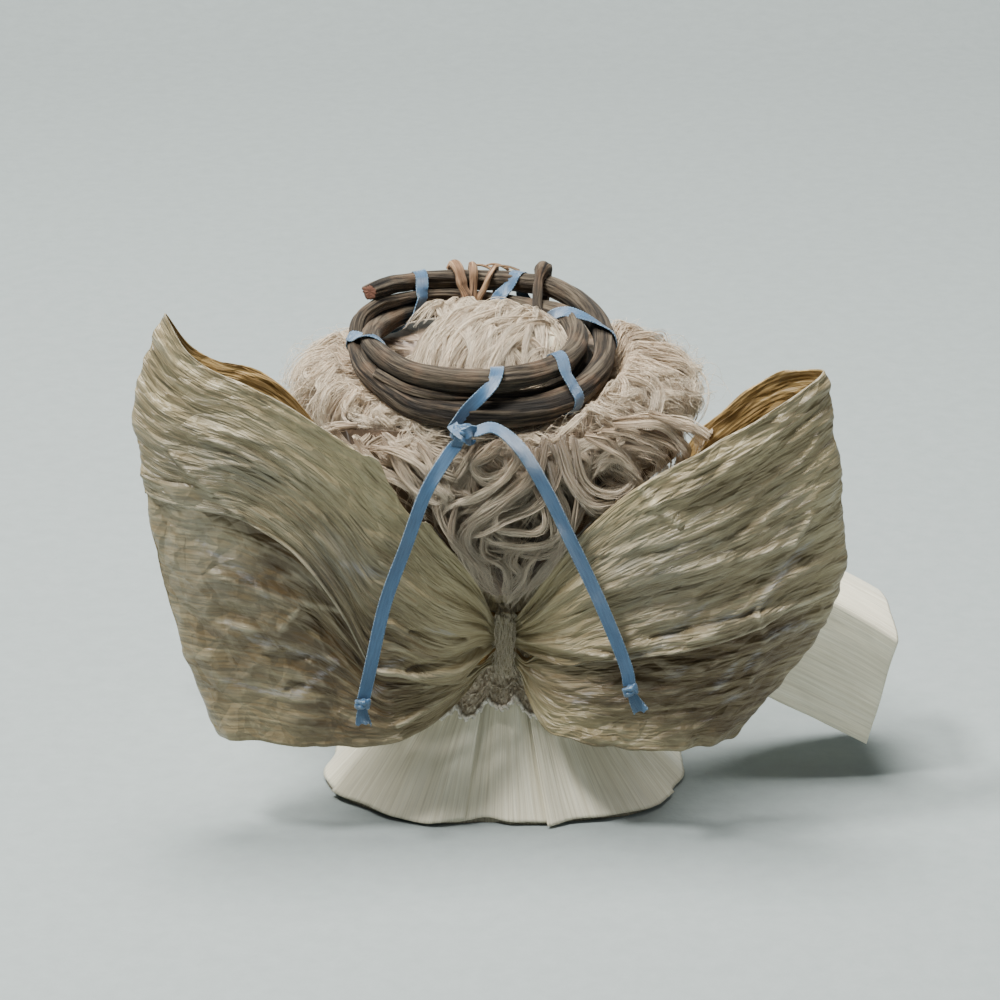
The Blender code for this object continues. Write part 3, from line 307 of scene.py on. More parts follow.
def ramp(tree, factor, stops):
    """Colours along a factor, from (place, colour) pairs."""
    node = add(tree, "ShaderNodeValToRGB", {"Fac": factor})
    band = node.color_ramp
    while len(band.elements) < len(stops):
        band.elements.new(0.5)
    for element, (place, colour) in zip(band.elements, stops):
        element.position = place
        element.color = (*colour, 1.0)
    return node.outputs["Color"]


def mixed(tree, factor, first, second, blend="MIX"):
    node = add(tree, "ShaderNodeMix", data_type="RGBA", blend_type=blend)
    for socket, value in ((node.inputs[0], factor), (node.inputs[6], first), (node.inputs[7], second)):
        if isinstance(value, bpy.types.NodeSocket):
            tree.links.new(value, socket)
        else:
            socket.default_value = value if np.ndim(value) == 0 else (*value, 1.0)
    return node.outputs[2]


def spread(tree, value, low, high, low_out=0.0, high_out=1.0):
    values = {"Value": value, "From Min": low, "From Max": high, "To Min": low_out, "To Max": high_out}
    return add(tree, "ShaderNodeMapRange", values).outputs["Result"]


def raise_bumps(tree, shader, height, depth):
    bump = add(tree, "ShaderNodeBump", {"Height": height, "Distance": depth, "Strength": 1.0})
    tree.links.new(bump.outputs["Normal"], shader.inputs["Normal"])


def paint(tree, shader, colour):
    tree.links.new(colour, shader.inputs["Base Color"])


# %% [markdown]
# Satin ribbon is woven so that its face is nearly all long threads, which is why it shines along
# its length. Its two edges are finished with a row of tiny loops, called picots.

# %% Satin ribbon material
SATIN_BLUE = (0.013, 0.064, 0.148)
SATIN_PALE = (0.035, 0.118, 0.228)
satin, tree, shader = new_material("blue_satin_ribbon", 0.32, sheen=0.30, specular=0.9)
shader.inputs["Anisotropic"].default_value = 0.5
weave = add(tree, "ShaderNodeTexWave", {"Vector": laid(tree, (3200, 260, 1)), "Scale": 1.0, "Distortion": 1.2}, bands_direction="X")
streak = grain(tree, laid(tree, (260, 2600, 1)))
tone = mixed(tree, spread(tree, streak, 0.35, 0.65), SATIN_BLUE, SATIN_PALE)
edge_mark = mark_value(tree, "edge")
picots = add(tree, "ShaderNodeTexWave", {"Vector": laid(tree, (1000, 0, 0)), "Scale": 0.40, "Distortion": 0.6}, bands_direction="X").outputs["Fac"]
picots = add(tree, "ShaderNodeMath", {0: spread(tree, picots, 0.45, 0.75, 0.15, 1.0), 1: spread(tree, edge_mark, 0.35, 1.0)}, operation="MULTIPLY").outputs[0]
paint(tree, shader, mixed(tree, spread(tree, picots, 0.0, 1.0, 0.0, 0.70), tone, (0.30, 0.48, 0.60)))
raise_bumps(tree, shader, weave.outputs["Fac"], 0.00003)
print("satin material with", len(tree.nodes), "nodes")

# %% [markdown]
# The two ribbon tails hang free from the knot behind the wreath. Each ends in an overhand knot, and
# below it the cut end flares. A strip is drawn along the same line as the imported model's, with its
# face turned a little as it falls.

# %% Ribbon tails
RIBBON_WIDTH = 0.0030
RIBBON_SEEN = 0.0027
RIBBON_THICK = 0.00022
PICOT_STEP = 0.00055
TAILS = {
    "left": [
        (-9.6, -30.3, 87.0), (-11.7, -31.4, 84.5), (-15.9, -33.1, 77.5), (-19.9, -34.4, 66.5),
        (-24.1, -35.0, 54.5), (-27.3, -35.3, 40.0), (-28.7, -35.4, 33.5),
    ],
    "right": [
        (-5.9, -30.3, 89.7), (-2.0, -31.3, 90.8), (3.0, -32.1, 86.8), (8.0, -32.8, 78.5),
        (13.0, -33.7, 68.0), (19.1, -34.4, 54.5), (24.2, -35.1, 41.5), (25.3, -35.3, 36.5),
    ],
}
TAIL_TWISTS = {
    "left": ((0.0, -0.5), (0.15, -0.15), (0.35, 0.1), (0.7, -0.1), (1.0, 0.15)),
    "right": ((0.0, 1.05), (0.08, 0.95), (0.16, 0.45), (0.3, 0.0), (0.65, 0.15), (1.0, -0.1)),
}


def ribbon_grid(path, facing, width, lean):
    """Rows of points across a ribbon with picot edges and a slight hollow."""
    path = np.asarray(path)
    ahead = np.gradient(path, axis=0)
    ahead /= np.linalg.norm(ahead, axis=1, keepdims=True)
    side = np.cross(ahead, facing)
    side /= np.linalg.norm(side, axis=1, keepdims=True)
    up = np.cross(side, ahead)
    lean = np.broadcast_to(lean, len(path))[:, None]
    side, up = side * np.cos(lean) + up * np.sin(lean), up * np.cos(lean) - side * np.sin(lean)
    passed = along(path)
    shares = np.array([-1, -0.93, -0.86, -0.6, -0.3, 0, 0.3, 0.6, 0.86, 0.93, 1.0])
    picot = 0.5 + 0.5 * np.cos(TURN * passed / PICOT_STEP)
    reach = np.where(np.abs(shares) == 1, 0.93 + 0.09 * picot[:, None], np.abs(shares)) * np.sign(shares)
    waver = 0.00008 * noise(passed[:, None] / 0.004, shares * 0.8, seed=5)
    hollow = waver + 0.00006 * shares**2
    grid = path[:, None] + side[:, None] * (reach * width / 2)[..., None] + up[:, None] * hollow[..., None]
    lay = np.stack(np.broadcast_arrays(passed[:, None], shares * width / 2, np.zeros(1)), axis=-1)
    edge = np.broadcast_to(ease((np.abs(shares) - 0.8) * 8) * (0.4 + 0.6 * picot[:, None]), reach.shape)
    return grid, lay, edge


def ribbon_piece(name, path, facing, width, lean, body="head"):
    grid, lay, edge = ribbon_grid(path, facing, width, lean)
    piece = sheet_piece(name, grid, RIBBON_THICK, [satin], body, lay, {"edge": edge})
    return piece


tail_ends = {}
for side_name, keys in TAILS.items():
    path = even_path(np.array(keys) * MM, 420)
    lean = read(TAIL_TWISTS[side_name], np.linspace(0, 1, len(path)))
    facing = np.broadcast_to([0.0, -1.0, 0.0], path.shape)
    tail = ribbon_piece(f"{side_name}_tail_ribbon", path, facing, RIBBON_SEEN, lean)
    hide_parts(f"{side_name}_ribbon_tail")
    tail_ends[side_name] = (tail, path)
    print(side_name, "tail is", round(1000 * along(path)[-1], 1), "mm to its knot")

# %% [markdown]
# An overhand knot in a narrow ribbon is a small crumpled bundle of three or four folds. It is drawn
# as a thick strand that runs once round itself, with the flat cut end fanning out below.

# %% Knots at the tails' ends
def knot_piece(name, centre, ahead, size, body="head"):
    """A tight half hitch: a flattened strand that goes round itself."""
    ahead = Vector(ahead).normalized()
    side = ahead.cross(Vector((0, -1, 0))).normalized()
    out = side.cross(ahead)
    turn = np.linspace(0, TURN * 1.5, 90)
    loop = 0.62 * size * np.stack([np.cos(turn) * 0.9, np.sin(turn) * 0.75, 0.55 * np.sin(1.35 * turn + 0.6)], axis=-1)
    path = np.array(centre) + loop @ np.array([side, out, ahead])
    wide = size * (0.40 + 0.07 * np.sin(5 * turn))
    grid, around = rod_grid(path, wide, 14, up=ahead)
    squeeze = 1 + 0.16 * np.cos(3 * around + 2 * turn[:, None])
    grid = path[:, None] + (grid - path[:, None]) * squeeze[..., None]
    grid = np.concatenate([np.repeat(path[:1, None], 14, 1), grid, np.repeat(path[-1:, None], 14, 1)])
    passed = np.concatenate([[0], along(path), [along(path)[-1]]])
    lay = np.stack(np.broadcast_arrays(passed[:, None], 0.0012 * np.cos(around), 0.0012 * np.sin(around)), axis=-1)
    marks = {"edge": np.broadcast_to(0.25 + 0.25 * np.cos(2 * around), grid.shape[:2])}
    faces = grid_faces(len(grid), 14, closed_columns=True)
    piece = mesh_piece(name, grid, faces, [satin], body, lay, None, marks)
    return piece


for side_name, (tail, path) in tail_ends.items():
    ahead = (path[-1] - path[-6]) / np.linalg.norm(path[-1] - path[-6])
    centre = path[-1] + ahead * 0.0010
    knot = knot_piece(f"{side_name}_end_knot", centre, ahead, 0.0017)
    lean_way = np.array([0.35 if side_name == "left" else 0.42, -0.05, 0.0])
    end = even_path([centre, centre + ahead * 0.0024 + lean_way * 0.0012, centre + ahead * 0.0048 + lean_way * 0.0034], 60)
    fan = np.linspace(0, 1, 60)
    flare = ribbon_grid(end, np.broadcast_to([0.0, -1.0, 0.0], end.shape), RIBBON_WIDTH, 0.5 - 0.9 * fan)
    widen = (0.45 + 0.75 * fan)[:, None, None]
    jag = 0.0005 * noise(np.arange(11) * 1.7, seed=8 if side_name == "left" else 9)
    shape = end[:, None] + (flare[0] - end[:, None]) * widen + (fan**4)[:, None, None] * jag[:, None] * ahead
    cut_end = sheet_piece(f"{side_name}_cut_end", shape, RIBBON_THICK, [satin], "head", flare[1], {"edge": flare[2]})
    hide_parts(f"{side_name}_tail_knot")
print("two tails end in knots")

# %% [markdown]
# The wreath is one length of grapevine, wound while it was green and left to dry. It starts at a
# cut end at the left, lies on top along the far side, comes round low in front, thins out, runs
# along the far side again and hooks back inside the right edge to become the upper strand in front.
# Each row below is a place on it: degrees round the wreath, distance from its middle, height, and
# the vine's own radius, in millimetres. The bark is long stringy ribs, carved into the mesh, with
# painted shade in the furrows between them.

# %% Grapevine bark material
def bark_material(name, dark, middle, light):
    material, tree, shader = new_material(name, 0.82, sheen=0.05, specular=0.25)
    coarse = grain(tree, laid(tree, (70, 1500, 1500)), detail=5, harsh=0.65)
    fine = grain(tree, laid(tree, (160, 3600, 3600)), detail=4, harsh=0.7)
    blotch = grain(tree, laid(tree, (120, 120, 120)), detail=3)
    strands = spread(tree, coarse, 0.32, 0.68)
    tone = ramp(tree, strands, [(0.0, dark), (0.42, middle), (0.75, light), (1.0, [c * 1.25 for c in light])])
    tone = mixed(tree, spread(tree, fine, 0.45, 0.75, 0.0, 0.6), tone, [c * 1.5 for c in light])
    tone = mixed(tree, spread(tree, fine, 0.5, 0.25, 0.0, 0.7), tone, [c * 0.4 for c in dark])
    tone = mixed(tree, spread(tree, blotch, 0.5, 0.7, 0.0, 0.45), tone, (0.16, 0.095, 0.055))
    # Painted shade in the furrows, where the bark dips between its strings.
    tone = mixed(tree, spread(tree, mark_value(tree, "furrow"), 0.15, 0.75, 0.0, 0.85), tone, [c * 0.22 for c in dark])
    tone = mixed(tree, mark_value(tree, "cut"), tone, (0.22, 0.10, 0.065))
    paint(tree, shader, tone)
    raise_bumps(tree, shader, add(tree, "ShaderNodeMath", {0: coarse, 1: fine}, operation="ADD").outputs[0], 0.00025)
    return material


bark = bark_material("grapevine_bark", (0.006, 0.004, 0.003), (0.025, 0.018, 0.011), (0.092, 0.073, 0.050))
dry_bark = bark_material("dry_tendril_bark", (0.060, 0.032, 0.018), (0.210, 0.115, 0.062), (0.400, 0.260, 0.150))

# %% The wreath's vine
WREATH_CENTRE = np.array([-0.0050, 0.0, 0.0961])
WREATH_TILT = math.radians(2.7)
VINE = (
    (159, 24.6, 9.2, 1.85), (152, 24.2, 8.9, 1.90), (143, 24.2, 8.4, 1.90), (112, 24.0, 6.8, 1.85), (89, 24.0, 6.0, 1.95),
    (69, 24.3, 5.9, 2.00), (54, 24.8, 6.0, 2.10), (42, 25.0, 5.4, 2.20), (29, 25.2, 4.2, 2.30),
    (10, 25.4, 1.8, 2.35), (-10, 25.4, -0.6, 2.40), (-25, 25.2, -2.0, 2.50), (-37, 25.0, -2.9, 2.60),
    (-55, 24.8, -3.8, 2.70), (-75, 24.6, -3.9, 2.80), (-93, 24.6, -3.9, 2.85), (-111, 24.6, -3.8, 2.75),
    (-126, 24.8, -3.1, 2.55), (-140, 25.0, -1.6, 2.30), (-160, 25.4, 0.2, 2.00), (-175, 25.6, 2.0, 1.70),
    (-188, 25.2, 5.0, 1.60), (-200, 23.6, 6.2, 1.50), (-219, 22.4, 5.4, 1.25), (-238, 22.0, 4.6, 1.00),
    (-255, 21.8, 3.9, 0.95), (-271, 21.5, 3.1, 1.10), (-288, 21.0, 2.6, 1.40), (-308, 20.2, 2.8, 1.70),
    (-325, 20.0, 3.5, 1.90), (-341, 19.9, 3.2, 2.10), (-362, 19.9, 3.2, 2.20), (-385, 20.4, 2.7, 2.30),
    (-408, 21.2, 2.5, 2.20), (-428, 22.0, 2.6, 2.20), (-443, 22.4, 2.6, 2.35), (-458, 22.6, 2.6, 2.35),
    (-473, 22.8, 2.5, 2.30), (-490, 22.8, 2.5, 2.25), (-506, 23.0, 3.0, 2.25), (-525, 23.1, 3.4, 2.05),
    (-540, 22.6, 2.8, 2.10), (-560, 22.4, 2.4, 2.50), (-590, 22.8, 1.7, 2.50), (-630, 22.8, 0.4, 2.30),
    (-670, 22.4, -1.8, 1.70), (-705, 21.8, -2.8, 1.70), (-750, 20.8, -3.6, 1.60), (-780, 21.0, -2.6, 1.40),
    (-805, 22.6, -0.9, 1.15), (-835, 24.3, -0.6, 1.05), (-865, 25.4, 0.9, 0.95),
)
BARK_SIDES = 44


def on_wreath(turn, radius, height):
    """Points of the tilted wreath, from degrees round it and millimetres."""
    turn = np.radians(turn)
    x, y = radius * np.cos(turn), radius * np.sin(turn)
    y, z = y * math.cos(WREATH_TILT) - height * math.sin(WREATH_TILT), y * math.sin(WREATH_TILT) + height * math.cos(WREATH_TILT)
    return WREATH_CENTRE + np.stack(np.broadcast_arrays(x, y, z), axis=-1) * MM


def vine_piece(name, path, radius, sides, material, depth, seed, cuts=(1, 1), replaced=()):
    """A length of vine with stringy bark, cut across at its ends."""
    passed = along(path)
    turn = np.arange(sides) * TURN / sides
    twist = turn[None, :] + passed[:, None] / 0.055
    x, y = np.cos(twist) * 2.6, np.sin(twist) * 2.6
    strings = noise(x, y, passed[:, None] / 0.030, seed=seed)
    strings = strings + 0.6 * noise(2.2 * x, 2.2 * y, passed[:, None] / 0.016, seed=seed + 1)
    strings = strings + 0.35 * noise(4.6 * x, 4.6 * y, passed[:, None] / 0.009, seed=seed + 2)
    lumps = noise(x / 3, y / 3, passed[:, None] / 0.009, seed=seed + 3)
    furrow = np.clip(-strings * 1.1, 0, 1)
    size = radius[:, None] * (1 + 0.05 * lumps) + depth * np.clip(strings, -1.2, 1.0)
    grid, _ = rod_grid(path, size, sides)
    cap = 5
    shrink = np.linspace(1, 0, cap)[1:, None, None]
    grit = 0.05 * radius.min() * rng.standard_normal((cap - 1, sides, 1))
    ahead = path[0] - path[3], path[-1] - path[-4]
    ends = []
    for at, way in ((0, ahead[0]), (-1, ahead[1])):
        way = way / np.linalg.norm(way)
        ends.append(path[at] + (grid[at] - path[at]) * shrink + way * (grit + 0.10 * radius[at] * (1 - shrink)) * (shrink > 0))
    grid = np.concatenate([ends[0][::-1], grid, ends[1]])
    cut = np.zeros(grid.shape[:2])
    cut[: cap - 1], cut[1 - cap :] = cuts
    furrow = np.concatenate([np.zeros((cap - 1, sides)), furrow, np.zeros((cap - 1, sides))])
    lay = np.stack(np.broadcast_arrays(passed[:, None], radius[:, None] * np.cos(twist), radius[:, None] * np.sin(twist)), axis=-1)
    lay = np.concatenate([lay[:1] * shrink[::-1], lay, lay[-1:] * shrink])
    faces = grid_faces(len(grid), sides, closed_columns=True)
    piece = mesh_piece(name, grid, faces, [material], "head", lay, None, {"furrow": furrow, "cut": cut})
    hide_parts(*replaced)
    return piece


vine_turns = np.linspace(VINE[0][0], VINE[-1][0], 1300)
vine_rows = read([(-turn, *rest) for turn, *rest in VINE], -vine_turns)
waver = 0.12 * noise(vine_turns / 14, seed=3)
vine_path = on_wreath(vine_turns, vine_rows[:, 0] + waver, vine_rows[:, 1] + 0.12 * noise(vine_turns / 11, seed=4))
knuckle = 1 + 0.07 * noise(vine_turns / 16, seed=6)
vine = vine_piece("grapevine", vine_path, vine_rows[:, 2] * MM * knuckle, BARK_SIDES, bark, 0.00030, 21, replaced=["wreath_vine"])
print("vine is", round(along(vine_path)[-1], 2), "m long in", round((VINE[0][0] - VINE[-1][0]) / 360, 2), "turns")

# %% [markdown]
# Anything wound round the wreath has to lie on its strands. At each place round the wreath the
# strands are circles in a section, so the wrapping line is the outline of a band stretched round
# them. `wrap_point` walks round that outline: 0 is under the wreath, 0.25 outside, 0.5 on top and
# 0.75 inside.

# %% Wrapping lines round the wreath
WRAP_RAYS = 180


def wrap_outline(turn, spacing):
    """Distance from the section's middle to a band round the strands, for each direction."""
    rounds = [t for t in (turn + 360 * k for k in range(-4, 3)) if VINE[-1][0] <= t <= VINE[0][0]]
    rows = read([(-t, *rest) for t, *rest in VINE], -np.array(rounds))
    middle = np.array([rows[:, 0].mean(), rows[:, 1].mean()])
    way = np.arange(WRAP_RAYS) * TURN / WRAP_RAYS
    ways = np.stack([np.cos(way), np.sin(way)], axis=-1)
    reach = ((rows[:, :2] - middle) @ ways.T + rows[:, 2:3] + spacing).max(0)
    nearness = ways @ ways.T
    lines = np.where(nearness > 0.05, reach[None, :] / np.maximum(nearness, 0.05), 1e3)
    return middle, lines.min(1)


def wrap_point(turn, share, spacing):
    middle, outline = wrap_outline(turn, spacing)
    way = (0.25 - share) * -TURN
    at = (way / TURN * WRAP_RAYS) % WRAP_RAYS
    low = int(at)
    length = outline[low] + (outline[(low + 1) % WRAP_RAYS] - outline[low]) * (at - low)
    return on_wreath(turn, middle[0] + length * math.cos(way), middle[1] + length * math.sin(way))


# %% [markdown]
# The ribbon is wound round the wreath six times and tied in front, a little left of the middle. The
# table gives its place round the wreath, in degrees, at points of each winding. On the far side
# three thin tendrils and a twig hold the vine, as wild vine holds itself. They are dry, reddish and
# loose at their ends.

# %% Ribbon winding
WINDING = (
    (0.10, -101), (0.25, -93), (0.36, -88), (0.45, -83), (0.60, -80), (0.80, -77), (1.00, -60),
    (1.16, -45), (1.30, -44.5), (1.42, -45), (1.55, -41), (1.75, -38), (2.00, -17), (2.18, 4),
    (2.30, 4), (2.42, 8), (2.52, 14), (2.62, 24), (2.72, 36), (2.82, 43), (3.00, 56), (3.20, 69), (3.42, 71),
    (3.55, 74), (3.68, 79), (3.80, 82), (4.00, 98), (4.20, 118), (4.42, 121.5), (4.60, 125),
    (4.80, 129), (5.00, 150), (5.18, 181), (5.32, 184), (5.45, 189), (5.60, 200), (5.75, 213), (5.90, 221),
)
wind_shares = np.linspace(WINDING[0][0], WINDING[-1][0], 900)
wind_turns = read(WINDING, wind_shares)
wind_path = np.array([wrap_point(t, s % 1, 0.22) for t, s in zip(wind_turns, wind_shares)])
wind_out = np.array([wrap_point(t, s % 1, 3.0) for t, s in zip(wind_turns, wind_shares)]) - wind_path
even = np.linspace(0, along(wind_path)[-1], 2400)
wind_out = read(np.column_stack([along(wind_path), wind_out]), even)
wind_path = read(np.column_stack([along(wind_path), wind_path]), even)
winding = ribbon_piece("wound_ribbon", wind_path, wind_out, RIBBON_SEEN, 0.06 * noise(even / 0.006, seed=2))
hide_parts("ribbon_winding")
print("wound ribbon is", round(1000 * even[-1]), "mm long")

# %% Ribbon knot behind the wreath
KNOT = np.array([-0.0086, -0.0298, 0.0895])
knot = knot_piece("tied_knot", KNOT, (0.35, 0.0, 0.94), 0.0023)
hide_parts("ribbon_knot")
bridge_keys = [wrap_point(-101, 0.10, 0.6), KNOT + [0.0012, 0.0006, -0.0022], KNOT + [0.0010, -0.0012, 0.0006], KNOT + [-0.0004, -0.0016, -0.0004]]
bridges = [
    ("knot_wrap", [KNOT + np.array(p) * MM for p in ((-1.9, 0.6, 1.2), (-1.2, -1.5, 1.0), (0.3, -2.0, -0.1), (1.6, -1.2, -1.3), (1.8, 0.6, -1.7))]),
    ("knot_left_lead", [KNOT + np.array(p) * MM for p in ((0.9, -1.2, 0.3), (-0.2, -1.7, -0.6), (-0.8, -1.2, -1.9), (-1.2, -0.7, -3.0))]),
    ("knot_right_lead", [KNOT + np.array(p) * MM for p in ((-0.6, -1.3, -0.3), (0.8, -1.9, 0.3), (1.9, -1.0, 0.6), (2.8, -0.6, 0.3))]),
]
for label, keys in bridges:
    path = even_path(keys, 60)
    outward = np.gradient(path, axis=0) * 0 + np.array([0.0, -1.0, 0.15])
    narrow = RIBBON_WIDTH * (0.62 + 0.3 * np.linspace(0, 1, 60))
    ribbon_piece(label, path, outward, 0.0022, 0.5 if label == "knot_wrap" else 0.0)

# %% Tendrils and twig
TENDRILS = {
    "tendril_a": ([(104, 0.16), (103.5, 0.30), (103, 0.42), (102, 0.52), (101, 0.62), (99, 0.72), (98, 0.80)], 0.00105, "tendril_1"),
    "tendril_b": ([(95, 0.16), (94.5, 0.30), (94, 0.42), (94, 0.52), (94.5, 0.62), (95, 0.72), (95, 0.80)], 0.00085, "tendril_2"),
    "tendril_c": ([(84, 0.16), (83, 0.30), (83, 0.42), (85, 0.52), (88, 0.62), (91, 0.72), (92, 0.80)], 0.00060, "tendril_3"),
    "twig": ([(60, 0.20), (60, 0.34), (59, 0.44), (56, 0.53), (52, 0.62), (47, 0.70), (43, 0.76)], 0.00100, "wreath_twig"),
}
for number, (label, (keys, size, node)) in enumerate(TENDRILS.items()):
    path = even_path([wrap_point(turn, share, size / MM + 0.25) for turn, share in keys], 110)
    bump = 1 + 0.10 * noise(np.arange(110) / 9.0, seed=40 + number)
    if label == "twig":
        bump = bump * (1 + 0.75 * np.exp(-((np.arange(110) - 44) / 9.0) ** 2))
    piece = vine_piece(label, path, size * bump, 18, bark if label == "twig" else dry_bark, 0.00016, 50 + number, replaced=[node])
for number, (turn, lift, length) in enumerate(((106, 1.2, 3.5), (85, 1.0, 4.5), (77, 1.4, 6.0), (72, 1.2, 6.5))):
    start = wrap_point(turn, 0.40, 0.5)
    drift = rng.uniform(-1, 1, 3)
    keys = [start + np.array([drift[0] * s * 1.6 - s * (1.0 if number else -0.4) * length * 0.8, 1.2 * s - 2.2 * s * s, lift * math.sin(2.2 * s) + 0.2]) * MM for s in np.linspace(0, 1, 7)]
    path = even_path(keys, 40)
    piece = vine_piece(f"loose_bark_{number + 1}", path, np.linspace(0.00034, 0.00016, 40), 8, dry_bark, 0.00004, 60 + number)
print("tendrils and twig are in place")

# %% [markdown]
# Dried corn husk is a leaf: parallel ribs run its whole length, it is semi-gloss where the ribs are
# pressed flat, and it dries khaki with tan, grey and brown patches. The outside of a wing was brushed
# with a little pearl paint that stayed in streaks, and the inside is painted a warmer ochre for light
# shining through the thin husk. Patches and streaks are marks kept on the points of each sheet, and the
# ribs come from stretched noise. Painted highlight on ridges, painted shade in creases and a painted
# shadow under each flap are marks too.

# %% Husk materials
def scaled(tree, value, factor, added=0.0):
    """One value times a factor, and another added."""
    return add(tree, "ShaderNodeMath", {0: value, 1: factor, 2: added}, operation="MULTIPLY_ADD").outputs[0]


def husk_material(name, pale, middle, deep, roughness=0.52, rib=0.00010, crumple=0.0, veined=0.35):
    material, tree, shader = new_material(name, roughness, sheen=0.05, specular=0.45)
    ribs = grain(tree, laid(tree, (35, 1150, 0)), detail=5, harsh=0.60)
    fine = grain(tree, laid(tree, (90, 4200, 0)), detail=3, harsh=0.6)
    cloud = grain(tree, laid(tree, (95, 190, 0)), detail=4, harsh=0.55, warp=0.4)
    tone = ramp(tree, spread(tree, ribs, 0.30, 0.70), [(0.0, deep), (0.40, middle), (0.80, pale), (1.0, [c * 1.12 for c in pale])])
    tone = mixed(tree, spread(tree, cloud, 0.42, 0.68, 0.0, 0.55), tone, [c * 0.82 for c in middle])
    tone = mixed(tree, spread(tree, fine, 0.55, 0.30, 0.0, 0.35), tone, [c * 0.6 for c in deep])
    veins = add(tree, "ShaderNodeTexWave", {"Vector": laid(tree, (45, 1000, 0)), "Scale": 0.36, "Distortion": 8.0, "Detail": 4.0}, bands_direction="Y").outputs["Fac"]
    height = scaled(tree, ribs, rib, scaled(tree, fine, rib, scaled(tree, veins, 0.5 * rib)))
    if crumple:
        # Relief and veins fade towards the tie, where the husk is drawn together.
        loose = spread(tree, mark_value(tree, "loose"), 0.0, 1.0, 0.12, 1.0)
        height = scaled(tree, height, loose)
        crumple = scaled(tree, loose, crumple)
        veined = scaled(tree, loose, veined)
        for along_size, across_size, deep_share in ((105, 250, 1.0), (210, 520, -0.45)):
            cell = add(tree, "ShaderNodeTexVoronoi", {"Vector": laid(tree, (along_size, across_size, 0))}, feature="DISTANCE_TO_EDGE")
            cell.inputs["Scale"].default_value = 1.0
            height = scaled(tree, cell.outputs["Distance"], scaled(tree, crumple, deep_share), height)
    faint = add(tree, "ShaderNodeMath", {0: spread(tree, veins, 0.30, 0.0), 1: veined}, operation="MULTIPLY").outputs[0]
    tone = mixed(tree, faint, tone, [c * 0.55 for c in deep])
    return material, tree, shader, tone, height


def finish_husk(parts):
    material, tree, shader, tone, height = parts
    paint(tree, shader, tone)
    raise_bumps(tree, shader, height, 1.0)
    return material


parts = husk_material("wing_husk_outside", (0.450, 0.380, 0.222), (0.322, 0.264, 0.144), (0.168, 0.124, 0.060), 0.38, 0.00018, 0.0024)
material, tree, shader, tone, ribbing = parts
patchy = grain(tree, laid(tree, (130, 330, 0)), detail=6, harsh=0.65, warp=0.8)
tone = mixed(tree, spread(tree, patchy, 0.46, 0.60, 0.0, 0.42), tone, (0.215, 0.160, 0.084))
tone = mixed(tree, spread(tree, patchy, 0.46, 0.36, 0.0, 0.35), tone, (0.480, 0.435, 0.305))
tone = mixed(tree, spread(tree, mark_value(tree, "yellow"), 0.0, 1.0, 0.0, 0.55), tone, (0.530, 0.450, 0.245))
greying = add(tree, "ShaderNodeMath", {0: mark_value(tree, "grey"), 1: spread(tree, patchy, 0.62, 0.40, 0.2, 1.0)}, operation="MULTIPLY")
tone = mixed(tree, spread(tree, greying.outputs[0], 0.0, 1.0, 0.0, 0.70), tone, (0.250, 0.243, 0.205))
# Brown patches of the husk and painted shadow under the flaps share one mark, mixed to dark brown here.
brown_grain = grain(tree, laid(tree, (60, 520, 0)), detail=5, harsh=0.6)
brown_and_shade = add(tree, "ShaderNodeMath", {0: mark_value(tree, "brown_and_shade"), 1: spread(tree, brown_grain, 0.35, 0.60, 0.35, 1.0)}, operation="MULTIPLY")
tone = mixed(tree, spread(tree, brown_and_shade.outputs[0], 0.05, 0.80, 0.0, 0.95), tone, (0.098, 0.063, 0.026))
brushed = grain(tree, laid(tree, (260, 1500, 0)), detail=4, harsh=0.7)
pearl = add(tree, "ShaderNodeMath", {0: mark_value(tree, "pearl"), 1: spread(tree, brushed, 0.42, 0.60, 0.0, 1.0)}, operation="MULTIPLY")
tone = mixed(tree, spread(tree, pearl.outputs[0], 0.05, 0.9, 0.0, 0.50), tone, (0.380, 0.380, 0.405))
# The fold mark paints highlight on the ridges of the relief and shade in its creases.
tone = mixed(tree, spread(tree, mark_value(tree, "fold"), 0.53, 0.80, 0.0, 0.55), tone, (0.560, 0.500, 0.350))
tone = mixed(tree, spread(tree, mark_value(tree, "fold"), 0.46, 0.10, 0.0, 0.80), tone, (0.085, 0.060, 0.031))
wing_outside = finish_husk((material, tree, shader, tone, ribbing))
# The inside face is painted a warmer ochre, for light shining through the thin husk.
wing_inside = finish_husk(husk_material("wing_husk_inside", (0.470, 0.325, 0.130), (0.360, 0.232, 0.080), (0.215, 0.128, 0.042), 0.50, 0.00012, 0.0012))
wing_rim = finish_husk(husk_material("wing_husk_rim", (0.640, 0.590, 0.430), (0.560, 0.500, 0.350), (0.430, 0.370, 0.240), 0.55))
cream_husk = finish_husk(husk_material("cream_husk_leaf", (0.940, 0.895, 0.710), (0.870, 0.815, 0.620), (0.700, 0.640, 0.470), 0.27, 0.00005, 0.0, 0.07))
pale_husk = finish_husk(husk_material("pale_husk_leaf", (0.560, 0.520, 0.400), (0.470, 0.425, 0.310), (0.350, 0.300, 0.200), 0.55))
tie_husk = finish_husk(husk_material("tie_husk_strip", (0.500, 0.440, 0.300), (0.390, 0.330, 0.215), (0.230, 0.180, 0.105), 0.75, 0.00045, 0.0, 0.1))
print("husk materials are mixed")

# %% [markdown]
# Each wing is two husks. Each husk is a loop: it leaves the tie, runs out along the back, folds at
# the wing's outer edge and comes home along the front. A wing is set out by shares of its reach and
# span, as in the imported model. Onto that come the things a real husk does: it is gathered into
# sharp pleats at the tie, its ribs stand up, it dries in flat facets with creases between, and its
# top edge is torn in steps along the ribs.

